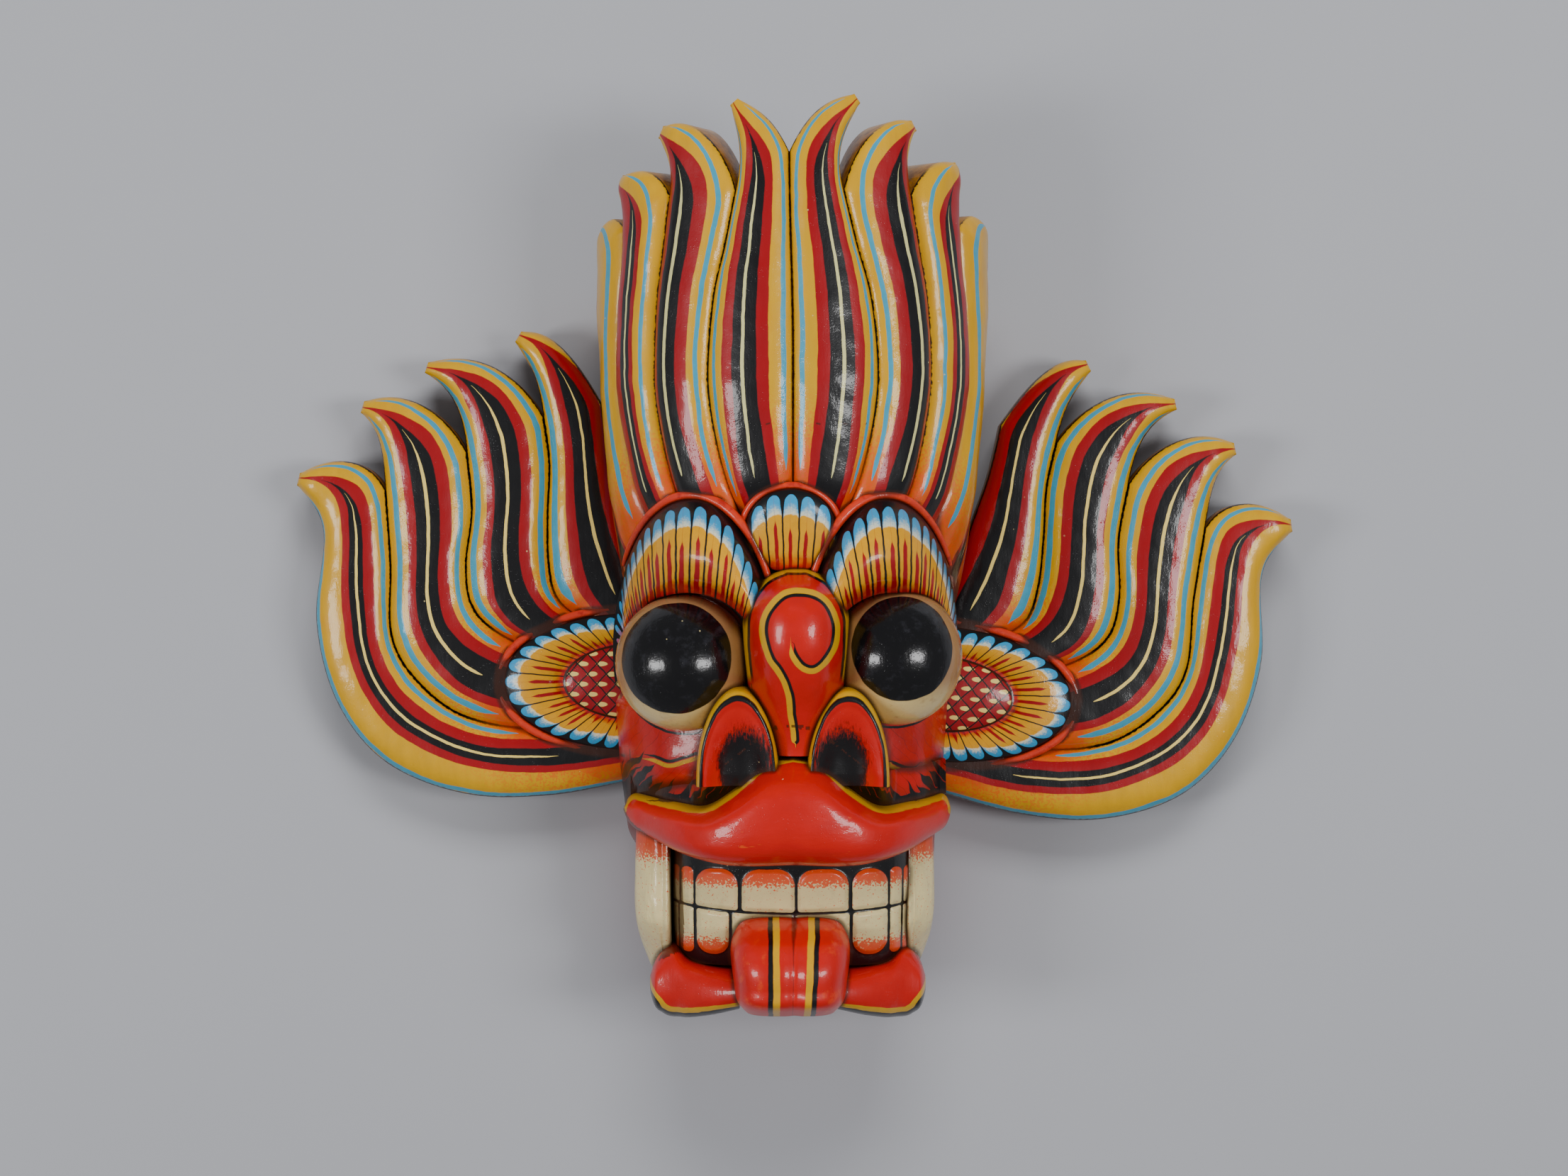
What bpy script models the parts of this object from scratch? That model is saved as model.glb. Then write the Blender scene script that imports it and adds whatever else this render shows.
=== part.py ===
"""A carved and painted fire-demon mask: a hollow wooden head with a crown of flames, and two
flame-shaped ear wings that plug into slots in its sides.

The mask lies on its back. X runs across it, Y runs up it and Z comes out of the face. The origin is
on the flat back plane, in the middle of the mask's width and height.
"""

import math

import bmesh
import bpy
import numpy as np
from mathutils import Vector

MM = 0.001

# Head block: half width and depth of its U-shaped section at each height, all in millimetres
HEAD_SECTIONS = (
    (172, 71.0, 99.0),
    (60, 70.5, 98.5),
    (25, 67.5, 94.0),
    (-5, 63.0, 87.0),
    (-40, 60.5, 83.0),
    (-75, 58.0, 80.0),
    (-100, 55.0, 75.0),
    (-130, 53.0, 70.0),
    (-152, 46.0, 60.0),
)
SIDE_HEIGHT = 28.0  # where the curved front of a section meets its side walls
SIDE_LEAN = 0.10  # how far the side walls lean inward towards the back
SECTION_POWER = 2.15  # 2 is an ellipse, more is boxier
BLOCK_TOP = 46.0
BLOCK_BOTTOM = -152.0
ORIGIN_SHIFT = (-1.0, 2.5)  # moves everything so that the origin is in the middle of the whole mask
BLOCK_SINK = 2.0  # how far the plain block lies under the crown's grooves

# Hollow back
SIDE_WALL = 15.0
FRONT_WALL = 15.0
JAW_WALL = 13.0
HOLLOW_TOP = 190.0

# Crown of flames, unrolled: arc distance from the middle line and height of each groove, root to notch
CROWN_RADIUS = 70.5  # the section radius that arc distances are measured on
CROWN_WALL = 17.0
CROWN_RIDGE = 4.2
CROWN_GROOVES = (
    ((0, 14), (0, 40), (0, 68), (0, 95), (0, 117), (0, 139)),
    ((18, 8), (26.5, 34), (30.2, 60), (28.0, 88), (22.8, 108), (18.6, 126)),
    ((40, 6), (49.0, 34), (52.8, 60), (51.6, 87), (48.0, 107), (44.5, 126)),
    ((60, 2), (70.0, 34), (75.0, 60), (74.0, 84), (71.0, 102), (69.5, 117)),
    ((88, -20), (103, 14), (111, 44), (112.5, 66), (110, 84), (106.5, 99)),
    ((137, -30), (137, 0), (137, 28), (137, 52), (137, 68), (137, 80)),
)
# Each flame's tip: arc distance, height, direction of the hook and spread of its two edges in degrees
LEFT_TIPS = ((20.0, 158.5, 55, 26), (49.2, 148.5, 18, 46), (71.4, 135, 38, 44), (101, 109, 5, 52), (131, 96, 70, 22))
RIGHT_TIPS = ((25.0, 159.5, 36, 28), (47.2, 150.5, 20, 34), (69.0, 139, 38, 42), (100, 116, 18, 48), (131, 97, 70, 22))
TIP_LEAN = (0.45, 0.45, 0.7, 1.2, 1.8)  # how soon each flame's back bends over, from the middle outward
CROWN_DRIFT = -1.3  # how far the flames' upper ends lean to one side
CROWN_BOTTOM_TUCK = 3.0  # how far the crown's root dips into the block

# Ear wings, in a flat frame: outward from the head and up from the middle of the ear flower
LEFT_WING = dict(side=-1, x=63.5, y=-44.5, tilt=0.0, scale=1.012)
RIGHT_WING = dict(side=1, x=61.0, y=-49.6, tilt=-5.2, scale=0.998)
WING_BACK = 8.0
WING_GROOVE = 20.0
WING_RIDGE = 6.0
WING_GROOVES = (
    ((-9, -36.5), (26, -43.0), (58, -42.5), (87, -31.0), (105, -9.0), (112.7, 20.0), (110.2, 47.0)),
    ((-9, -14.0), (30, -18.5), (58, -14.0), (76, -0.5), (85, 16.0), (85.4, 42.0), (87.3, 69.7)),
    ((-9, -3.0), (28, 9.0), (46, 17.0), (55.5, 27.0), (57.6, 42.0), (55.4, 62.0), (57.3, 83.6)),
    ((-9, 6.0), (12, 20.0), (23.6, 29.0), (27, 42.0), (27.4, 60.0), (26.8, 79.0), (29.0, 96.5)),
    ((-9, 12.0), (-8, 28.0), (-3.5, 48.0), (1.5, 68.0), (4.5, 80.0), (6.3, 91.0), (7.5, 101.0)),
)
WING_TIPS = ((120.7, 73.4, 8, 45), (97.8, 100.0, 5, 32), (74.7, 114.5, 3, 24), (40.2, 126.5, 22, 36))
EAR_LENGTH = 49.5
EAR_HALF_HEIGHT = 28.4
EAR_DROP = 1.2
EAR_HEART = 0.49  # size of the middle oval as a share of the flower
EAR_RISE = 6.5
EAR_TUCK = 6.0  # how far the flower runs on towards the head before it is trimmed to fit

# Joint between a wing and the head
TONGUE_THICK = 8.0
TONGUE_LOW = 11.0
TONGUE_BOTTOM = -76.0
TONGUE_TOP = -25.0
TONGUE_REACH = 73.0  # the tongue runs this far out inside the wing
SLOT_DEPTH = 6.5  # below the head's narrowest side along the slot
FIT_GAP = 0.35

# Face features: places in the head's frame, and how far they stand proud of the block
BROW = dict(x=35.8, y=-33.0, inner_wide=22.5, inner_high=20.5, wide=26.5, high=53.0, sweep=14, rise=21.0)
FAN = dict(x=0.2, y=9.4, wide=17.5, high=15.8, rim=5.0, rise=4.5)
EYE = dict(x=38.3, left_y=-37.0, right_y=-35.5, radius=24.0, lift=6.0)
NOSE = dict(x=1.2, top=-3.5, bottom=-66.0, half_width=18.0, rise=38.0)
NOSTRIL = dict(x=19.0, y=-79.0, wide=14.8, high=34.5, rise=23.5, dish=6.5)
LIP = dict(middle=-69.0, valley=-86.5, end=-83.0, valley_at=29.0, bottom=-107.5, corner=-92.0, proud=36.0, half_width=58.5)
JAW_SHIFT = -1.7  # the tusks and lower lip sit a little to one side
TEETH = dict(half_width=43.0, proud=14.5, top=-100.0, bottom=-144.0)
TUSK = dict(inner=41.5, outer=54.5, top=-98.0, bottom=-148.0, back=34.0, front=69.0)
LOWER_LIP = dict(inner=17.0, outer=51.0, y=-151.0, half_height=14.0, proud=25.0)
TONGUE = dict(half_width=20.3, top=-123.0, bottom=-158.5, proud=41.0, groove=1.6)

COLOURS = {
    "head": (0.62, 0.035, 0.01, 1),
    "left_wing": (0.72, 0.36, 0.02, 1),
    "right_wing": (0.72, 0.36, 0.02, 1),
}
ROUGHNESS = 0.3


# Curves and interpolation
def spline(points, t):
    """Points on a Catmull-Rom curve through the given points, for t from 0 to 1."""
    p = np.asarray(points, float)
    p = np.vstack([2 * p[0] - p[1], p, 2 * p[-1] - p[-2]])
    at = np.clip(np.asarray(t, float), 0, 1) * (len(p) - 3)
    i = np.minimum(at.astype(int), len(p) - 4)
    f = (at - i)[:, None]
    a, b, c, d = p[i], p[i + 1], p[i + 2], p[i + 3]
    return 0.5 * (2 * b + (c - a) * f + (2 * a - 5 * b + 4 * c - d) * f**2 + (3 * b - a - 3 * c + d) * f**3)


def bezier(start, start_way, end, end_way, t):
    """A cubic curve that leaves start and reaches end in the given directions."""
    start, end = np.asarray(start, float), np.asarray(end, float)
    length = np.linalg.norm(end - start)
    first = start + np.asarray(start_way) * length * 0.5
    second = end - np.asarray(end_way) * length * 0.34
    t = np.asarray(t, float)[:, None]
    return start * (1 - t) ** 3 + 3 * first * t * (1 - t) ** 2 + 3 * second * t**2 * (1 - t) + end * t**3


def heading(degrees):
    return np.array([math.cos(math.radians(degrees)), math.sin(math.radians(degrees))])


def smooth(x, low, high):
    t = np.clip((np.asarray(x, float) - low) / (high - low), 0, 1)
    return t * t * (3 - 2 * t)


# Head section
def section_size(y):
    """Half width and depth of the head block at a height."""
    rows = np.array(HEAD_SECTIONS[::-1], float)
    return np.interp(y, rows[:, 0], rows[:, 1]), np.interp(y, rows[:, 0], rows[:, 2])


def front(x, y):
    """Height of the head block's curved front above the back plane."""
    width, depth = section_size(y)
    share = np.clip(np.abs(x) / width, 0, 1) ** SECTION_POWER
    return SIDE_HEIGHT + (depth - SIDE_HEIGHT) * (1 - share) ** (1 / SECTION_POWER)


def around(arc, y, out):
    """The point at an arc distance from the middle line, wrapped round the head and moved outward."""
    arc, y, out = np.broadcast_arrays(np.asarray(arc, float), y, out)
    width, depth = section_size(y)
    quarter = CROWN_RADIUS * math.pi / 2
    angle = np.clip(arc / CROWN_RADIUS, -math.pi / 2, math.pi / 2)
    below = np.maximum(np.abs(arc) - quarter, 0)
    side = np.sign(arc)
    x = (width + out) * np.sin(angle) - side * below * SIDE_LEAN
    z = SIDE_HEIGHT + (depth - SIDE_HEIGHT + out) * np.cos(angle) - below * 1.12
    return np.stack([x, y, z], -1)


# Mesh making
def new_object(name, mesh, collection):
    made = bpy.data.objects.new(name, mesh)
    collection.objects.link(made)
    return made


def mesh_from(verts, faces, name="solid"):
    mesh = bpy.data.meshes.new(name)
    mesh.from_pydata([Vector(v) * MM for v in verts], [], faces)
    shape = bmesh.new()
    shape.from_mesh(mesh)
    bmesh.ops.remove_doubles(shape, verts=shape.verts, dist=0.01 * MM)
    bmesh.ops.delete(shape, geom=[v for v in shape.verts if not v.link_faces], context="VERTS")
    bmesh.ops.recalc_face_normals(shape, faces=shape.faces)
    shape.to_mesh(mesh)
    shape.free()
    return mesh


def sheet_faces(rows, columns, start, flip):
    faces = []
    for r in range(rows - 1):
        for c in range(columns - 1):
            a = start + r * columns + c
            quad = (a, a + 1, a + 1 + columns, a + columns)
            faces.append(quad[::-1] if flip else quad)
    return faces


def slab(front_rows, back_rows, walls=None, flat_back=False):
    """A closed block between two matching grids of points. walls gives each side's first walled row."""
    rows, columns = front_rows.shape[:2]
    verts = np.vstack([front_rows.reshape(-1, 3), back_rows.reshape(-1, 3)])
    count = rows * columns
    faces = sheet_faces(rows, columns, 0, False)
    if flat_back:
        grid = np.arange(count, 2 * count).reshape(rows, columns)
        rim = [*grid[0], *grid[1:, -1], *grid[-1, -2::-1], *grid[-2:0:-1, 0]]
        faces.append(tuple(int(i) for i in rim[::-1]))
    else:
        faces += sheet_faces(rows, columns, count, True)
    edges = {
        "start": [(c, c + 1) for c in range(columns - 1)],
        "end": [((rows - 1) * columns + c + 1, (rows - 1) * columns + c) for c in range(columns - 1)],
        "left": [((r + 1) * columns, r * columns, r) for r in range(rows - 1)],
        "right": [(r * columns + columns - 1, (r + 1) * columns + columns - 1, r) for r in range(rows - 1)],
    }
    for side, pairs in edges.items():
        first_row = (walls or {}).get(side, 0)
        if first_row is None:
            continue
        for pair in pairs:
            if len(pair) == 3 and pair[2] < first_row:
                continue
            faces.append((pair[1], pair[0], pair[0] + count, pair[1] + count))
    return verts, faces


def join_solids(solids):
    verts, faces, start = [], [], 0
    for points, found in solids:
        verts.append(points)
        faces += [tuple(i + start for i in face) for face in found]
        start += len(points)
    return mesh_from(np.vstack(verts), faces)


# Flames
def flame_edges(grooves, tips, leans, rows, tip_rows):
    """For each flame, its inner and outer edge from root to tip, as matching rows of points."""
    low, high = np.linspace(0, 1, rows), np.linspace(0, 1, tip_rows + 1)[1:]
    sides = [spline(g, low) for g in grooves]
    edges = []
    for i, (u, v, hook, spread) in enumerate(tips):
        inner, outer = sides[i], sides[i + 1]
        leave_outer = outer[-1] - outer[-2]
        leave_outer = leave_outer / np.linalg.norm(leave_outer)
        leave_inner = inner[-1] - inner[-2]
        leave_inner = leave_inner / np.linalg.norm(leave_inner) + np.array([leans[i], 0])
        leave_inner = leave_inner / np.linalg.norm(leave_inner)
        lead = bezier(outer[-1], leave_outer, (u, v), heading(hook + spread), high)
        back = bezier(inner[-1], leave_inner, (u, v), heading(hook - spread), high)
        edges.append((np.vstack([inner, back]), np.vstack([outer, lead])))
    return edges


def flame_grid(inner, outer, columns, ridge):
    """Positions across one flame, and the height of its rounded ridge above the grooves."""
    across = np.linspace(-1, 1, columns)
    mix = (across[None, :, None] + 1) / 2
    spots = inner[:, None] * (1 - mix) + outer[:, None] * mix
    wide = np.linalg.norm(outer - inner, axis=1)
    height = ridge * smooth(wide, -4, 16)
    relief = height[:, None] * (1 - np.abs(across[None, :]) ** 2.4) ** 0.8
    relief[-1] = relief[-2].max() * 0.6
    return spots, relief


def crown_solid(columns=7, rows=8, tip_rows=4):
    solids = []
    for side, tips in ((-1, LEFT_TIPS), (1, RIGHT_TIPS)):
        edges = flame_edges(CROWN_GROOVES, tips, TIP_LEAN, rows, tip_rows)
        for i, (inner, outer) in enumerate(edges):
            spots, relief = flame_grid(inner, outer, columns, CROWN_RIDGE)
            y = spots[..., 1]
            arc = spots[..., 0] * side + CROWN_DRIFT * smooth(y, 70, 140)
            relief = relief * smooth(y, -25, 30)
            relief = relief * (1 - smooth(np.abs(arc), 74, 106) * (1 - 0.4 * smooth(y, 66, 90)))
            tuck = CROWN_BOTTOM_TUCK * (1 - smooth(np.arange(len(y)), 0, 1.2))[:, None]
            outside = around(arc, y, relief - tuck)
            inside = around(arc * 0.98, y, -CROWN_WALL)
            if side < 0:
                outside, inside = outside[:, ::-1], inside[:, ::-1]
            near, far = ("left", "right") if side > 0 else ("right", "left")
            walls = {near: rows - 1, far: rows - 1}
            if i == len(edges) - 1:
                walls[far] = 0
            solids.append(slab(outside, inside, walls))
    return join_solids(solids)


def wing_place(wing, spots, z):
    """From a wing's flat frame into the head's frame."""
    turn = math.radians(wing["tilt"])
    u = (spots[..., 0] * math.cos(turn) - spots[..., 1] * math.sin(turn)) * wing["scale"]
    v = (spots[..., 0] * math.sin(turn) + spots[..., 1] * math.cos(turn)) * wing["scale"]
    return np.stack([wing["side"] * (wing["x"] + u), wing["y"] + v, np.broadcast_to(z, u.shape)], -1)


def wing_flames(wing, columns=7, rows=12, tip_rows=6):
    solids = []
    edges = flame_edges(WING_GROOVES[::-1], WING_TIPS[::-1], [0.45] * 4, rows, tip_rows)
    for i, (inner, outer) in enumerate(edges):
        spots, relief = flame_grid(inner, outer, columns, WING_RIDGE)
        top = wing_place(wing, spots, WING_GROOVE + relief)
        bottom = wing_place(wing, spots, WING_BACK)
        if wing["side"] < 0:
            top, bottom = top[:, ::-1], bottom[:, ::-1]
        near, far = ("left", "right") if wing["side"] > 0 else ("right", "left")
        walls = {near: 0 if i == 0 else rows - 1, far: 0 if i == len(edges) - 1 else rows - 1}
        solids.append(slab(top, bottom, walls, flat_back=True))
    return join_solids(solids)


def dome(outline, heights, floor, rings, turns):
    """A pad over an outline: outline(angle, share) gives x and y, heights(x, y, share) the top."""
    angle = np.linspace(0, 2 * math.pi, turns + 1)[None, :]
    share = np.linspace(0, 1, rings)[:, None] ** 0.8
    x, y = outline(angle, share + 0 * angle)
    top = np.stack([x, y, heights(x, y, share + 0 * x)], -1)
    bottom = np.stack([x, y, floor + 0 * x], -1)
    return slab(top, bottom, {"start": None, "left": None, "right": None})


def ear_flower(wing, rings=11, turns=22):
    """The ear's oval flower: a domed heart in a rolled ring of petals."""
    angle = np.linspace(-math.pi / 2, math.pi / 2, turns)[None, :]
    share = np.linspace(0, 1, rings)[:, None]
    u = (EAR_LENGTH + EAR_TUCK) * share * np.cos(angle) - EAR_TUCK
    v = EAR_HALF_HEIGHT * share * np.sin(angle) - EAR_DROP
    heart = 3.0 * np.sqrt(np.clip(1 - (share / EAR_HEART) ** 2, 0, 1))
    ring = 3.2 * np.sin(np.clip((share - EAR_HEART) / (1 - EAR_HEART), 0, 1) * math.pi) ** 0.7
    z = WING_GROOVE + EAR_RISE + np.where(share < EAR_HEART, heart, ring - 1.2) + 0 * u
    z[-1] = WING_GROOVE - 2.0
    z[-2] = np.minimum(z[-2], WING_GROOVE + EAR_RISE - 1.0)
    spots = np.stack([u, v], -1)
    top = wing_place(wing, spots, z)
    bottom = wing_place(wing, spots, WING_BACK + 1.0)
    return join_solids([slab(top, bottom, {"start": None})])


def block(low, high, name="block"):
    """A box between two corners."""
    shape = bmesh.new()
    bmesh.ops.create_cube(shape, size=1.0)
    low, high = Vector(low) * MM, Vector(high) * MM
    for vert in shape.verts:
        vert.co = Vector([(low[k] + high[k]) / 2 + vert.co[k] * (high[k] - low[k]) for k in range(3)])
    mesh = bpy.data.meshes.new(name)
    shape.to_mesh(mesh)
    shape.free()
    return mesh


def narrowest_side():
    """The head's least half width along the slot, at the slot's height above the back."""
    heights = np.linspace(TONGUE_BOTTOM, TONGUE_TOP, 9)
    lean = (SIDE_HEIGHT - TONGUE_LOW) * SIDE_LEAN
    return float(section_size(heights)[0].min()) - lean - BLOCK_SINK


def wing_tongue(side, gap=0.0, length=0.0):
    """The flat tongue on a wing's root, or with a gap the slot that takes it."""
    inner = narrowest_side() - SLOT_DEPTH
    low, high = inner - gap + FIT_GAP, TONGUE_REACH + length
    xs = sorted((side * low, side * high))
    return block(
        (xs[0], TONGUE_BOTTOM - gap, TONGUE_LOW - gap),
        (xs[1], TONGUE_TOP + gap, TONGUE_LOW + TONGUE_THICK + gap),
    )


# Head pieces
def u_loft(stations, inset, sink, floor, turns=22):
    """A block of U-shaped sections; stations are heights, inset narrows and sink lowers each section."""
    rows = []
    for y in stations:
        width, depth = section_size(y)
        width, top = width - inset, depth - sink
        angle = np.linspace(-math.pi / 2, math.pi / 2, turns)
        power = 2 / SECTION_POWER
        x = width * np.sign(np.sin(angle)) * np.abs(np.sin(angle)) ** power
        z = SIDE_HEIGHT + (top - SIDE_HEIGHT) * np.cos(angle) ** power
        foot = width - (SIDE_HEIGHT - floor) * SIDE_LEAN
        x = np.concatenate([[-foot], x, [foot]])
        z = np.concatenate([[floor], z, [floor]])
        rows.append(np.stack([x, np.full(len(x), y), z], -1))
    return loft(rows)


def loft(rows):
    """A closed solid through rings of points, capped at both ends."""
    rings = np.array(rows)
    count, turns = rings.shape[:2]
    faces = []
    for r in range(count - 1):
        for c in range(turns):
            a, b = r * turns + c, r * turns + (c + 1) % turns
            faces.append((a, b, b + turns, a + turns))
    faces.append(tuple(range(turns))[::-1])
    faces.append(tuple(range((count - 1) * turns, count * turns)))
    return mesh_from(rings.reshape(-1, 3), faces)


def block_solid():
    stations = [BLOCK_TOP, 25, 0, -20, -40, -58, -75, -100, -130, BLOCK_BOTTOM]
    return u_loft(stations, BLOCK_SINK, BLOCK_SINK, -3.0, turns=18)


def head_fit():
    """The head block grown by the fitting gap; it trims a wing's root to the head's side."""
    stations = [60, 45, 25, 10, -5, -20, -40, -58, -75, -90, -100, -115, -130, -142, -152, -170]
    return u_loft(stations, -FIT_GAP - 0.1, -FIT_GAP, -2.0)


def hollow_solid():
    bottom = BLOCK_BOTTOM + JAW_WALL
    stations = [HOLLOW_TOP, 60, 25, -5, -40, -75, -100, bottom]
    return u_loft(stations, SIDE_WALL, FRONT_WALL, -9.0, turns=14)


def oval_pad(x, y, wide, high, rim, rise, rings=5, turns=16):
    """A domed oval pad on the head."""

    def outline(angle, share):
        return x + wide * share * np.cos(angle), y + high * share * np.sin(angle)

    def heights(px, py, share):
        edge = share > 0.999
        return front(px, py) + rim * ~edge + rise * np.sqrt(np.clip(1 - share**3, 0, 1)) - 1.5 * edge

    floor = min(front(x - wide, y), front(x + wide, y)) - 14
    return join_solids([dome(outline, heights, max(floor, 40), rings, turns)])


def brow_arch(side, rings=6, turns=13):
    """A petal-shaped brow arched over an eye: steep where it meets the eye, sloping off outward."""
    sweep = math.radians(BROW["sweep"])
    angle = np.linspace(-sweep, math.pi + sweep, turns)[None, :]
    share = np.linspace(0, 1, rings)[:, None]
    wide = BROW["inner_wide"] * (1 - share) + BROW["wide"] * share
    high = BROW["inner_high"] * (1 - share) + BROW["high"] * share
    x = BROW["x"] + wide * np.cos(angle)
    y = BROW["y"] + high * np.sin(angle)
    bulge = np.interp(share, (0, 0.12, 0.3, 0.55, 0.8, 1.0), (0.62, 0.86, 1.0, 0.9, 0.62, 0.16))
    ends = 0.62 + 0.38 * np.clip(np.sin(angle), 0, 1) ** 0.7
    z = front(x, y) + BROW["rise"] * bulge * ends
    top = np.stack([side * x, y, np.maximum(z, 44)], -1)
    bottom = np.stack([side * x, y, np.clip(front(x, y) - 9, 34, 66)], -1)
    return join_solids([slab(top, bottom)])


def tusk_solid(side):
    """A broad flat tusk beside the teeth, rounded at its lower end."""
    rows = []
    for y, grow in ((TUSK["top"], 0), (-112, 0.6), (-126, 1.0), (-138, 0.4), (-145, -1.0), (TUSK["bottom"], -2.2)):
        inner, outer, top = TUSK["inner"], TUSK["outer"] + grow, TUSK["front"] + grow
        profile = [
            (inner, TUSK["back"]),
            (outer - 1, TUSK["back"]),
            (outer, TUSK["back"] + 6),
            (outer, top - 12),
            (outer - 2.5, top - 5),
            (outer - 7, top - 0.5),
            (inner + 3, top),
            (inner, top - 1.5),
        ]
        rows.append([(side * x + JAW_SHIFT, y, z) for x, z in profile])
    return loft(rows)


def eyeball(side):
    shape = bmesh.new()
    bmesh.ops.create_uvsphere(shape, u_segments=18, v_segments=12, radius=EYE["radius"] * MM)
    y = EYE["left_y"] if side < 0 else EYE["right_y"]
    centre = Vector((side * EYE["x"], y, front(EYE["x"], y) + EYE["lift"]))
    bmesh.ops.translate(shape, verts=shape.verts, vec=centre * MM)
    mesh = bpy.data.meshes.new("eyeball")
    shape.to_mesh(mesh)
    shape.free()
    return mesh


def nose_half_width(share):
    """Half width of the nose from its round top (0) to its point (1)."""
    marks = [(0, 0.2), (0.04, 0.5), (0.12, 0.78), (0.24, 0.97), (0.38, 1.0), (0.55, 0.92), (0.7, 0.66), (0.84, 0.36), (1, 0.08)]
    marks = np.array(marks)
    return NOSE["half_width"] * np.interp(share, marks[:, 0], marks[:, 1])


def nose_solid(rows=11, columns=9):
    share = np.linspace(0, 1, rows)[:, None]
    across = np.linspace(-1, 1, columns)[None, :]
    y = NOSE["top"] + (NOSE["bottom"] - NOSE["top"]) * share + 0 * across
    x = NOSE["x"] + nose_half_width(share) * across
    swell = 1 - (np.clip(0.4 - share, 0, 0.4) / 0.4) ** 2.6
    lengthwise = np.clip(swell, 0, 1) ** 0.5 * (1 - 0.42 * smooth(share, 0.4, 1.0))
    dome_height = NOSE["rise"] * lengthwise * (1 - np.abs(across) ** 2.6) ** 0.5
    top = np.stack([x, y, front(NOSE["x"], y) - 4 + dome_height], -1)
    bottom = np.stack([x, y, front(NOSE["x"], y) - 14 + 0 * x], -1)
    return join_solids([slab(top, bottom)])


def nostril_solid(side, rings=6, turns=15):
    """An arched nostril with a raised rim and a dished inside."""
    angle = np.linspace(0, math.pi, turns)[None, :]
    share = np.linspace(0, 1, rings)[:, None]
    x = side * NOSTRIL["x"] + NOSTRIL["wide"] * share * np.cos(angle)
    y = NOSTRIL["y"] + NOSTRIL["high"] * share * np.sin(angle)
    rim = np.interp(share, (0, 0.35, 0.78, 0.9, 1.0), (-NOSTRIL["dish"], -NOSTRIL["dish"] + 1, -0.6, 0, -18))
    top = np.stack([x, y, front(side * NOSTRIL["x"] * 0.9, y) + NOSTRIL["rise"] + rim + 0 * x], -1)
    bottom = np.stack([x, y, front(NOSTRIL["x"], y) - 12 + 0 * x], -1)
    return join_solids([slab(top, bottom, {"start": None})])


def lip_solid(stations=21, turns=10):
    """The upper lip: a thick roll bent round the head, its top edge waved under the nose."""
    rings = []
    for share in np.linspace(-1, 1, stations):
        x = LIP["half_width"] * math.sin(share * math.radians(84)) / math.sin(math.radians(84))
        wave = np.interp(abs(x), (0, 9, 20, LIP["valley_at"], 42, LIP["half_width"]), (0, 0.14, 0.66, 1, 1, 0.86))
        top = LIP["middle"] + (LIP["valley"] - LIP["middle"]) * wave
        closing = smooth(abs(share), 0.72, 1.0)
        bottom = LIP["bottom"] + (LIP["corner"] - LIP["bottom"]) * closing * 0.95
        proud = LIP["proud"] * (1 - 0.42 * smooth(abs(share), 0.25, 1))
        if abs(share) > 0.999:
            top, bottom = top - 3, bottom + 2
        base = front(min(abs(x), 52), -95) - 8
        ring = []
        for turn in range(turns):
            angle = 2 * math.pi * turn / turns
            out, up = math.cos(angle), math.sin(angle)
            half = (top - bottom) / 2
            y = (top + bottom) / 2 + half * math.copysign(abs(up) ** 0.7, up)
            z = base + (proud + 8) * (0.5 + 0.5 * math.copysign(abs(out) ** 0.6, out))
            z -= 5.5 * smooth(up, 0.2, 1)
            ring.append((x, y, z))
        rings.append(ring)
    return loft(rings)


def teeth_solid():
    """The band of bared teeth, standing between the two tusks."""
    rows = []
    for y, shrink in ((TEETH["top"], 0), (-118, 0), (-132, 0.8), (TEETH["bottom"], 2.5)):
        depth = section_size(y)[1] + TEETH["proud"] - shrink
        width = TEETH["half_width"] - shrink
        angle = np.linspace(-math.pi / 2, math.pi / 2, 17)
        x = width * np.sign(np.sin(angle)) * np.abs(np.sin(angle)) ** 0.85
        z = 44 + (depth - 44) * np.cos(angle) ** 0.85
        x = np.concatenate([[-width * 0.97], x, [width * 0.97]])
        z = np.concatenate([[40], z, [40]])
        rows.append(np.stack([x, np.full(len(x), y), z], -1))
    return loft(rows)


def lower_lip_solid(side, stations=8, turns=10):
    """A leaf-shaped half of the lower lip, from the tongue out to the corner of the jaw."""
    rings = []
    for share in np.linspace(0, 1, stations):
        x = LOWER_LIP["inner"] + (LOWER_LIP["outer"] - LOWER_LIP["inner"]) * math.sin(share * math.pi / 2)
        fat = np.interp(share, (0, 0.25, 0.6, 0.85, 0.97, 1), (0.62, 0.74, 1.0, 0.88, 0.5, 0.2))
        half = LOWER_LIP["half_height"] * fat
        y = LOWER_LIP["y"] + 2.5 * math.sin(share * math.pi) * -0.6 + 2.0 * share
        base = front(x, -140) - 14
        high = LOWER_LIP["proud"] * (1 - 0.3 * share) + 12
        ring = []
        for turn in range(turns):
            angle = 2 * math.pi * turn / turns
            out, up = math.cos(angle), math.sin(angle)
            z = base + high * (0.5 + 0.5 * math.copysign(abs(out) ** 0.7, out)) * (0.7 + 0.3 * fat)
            ring.append((side * x + JAW_SHIFT, y + half * math.copysign(abs(up) ** 0.8, up), z))
        rings.append(ring)
    return loft(rings)


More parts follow.
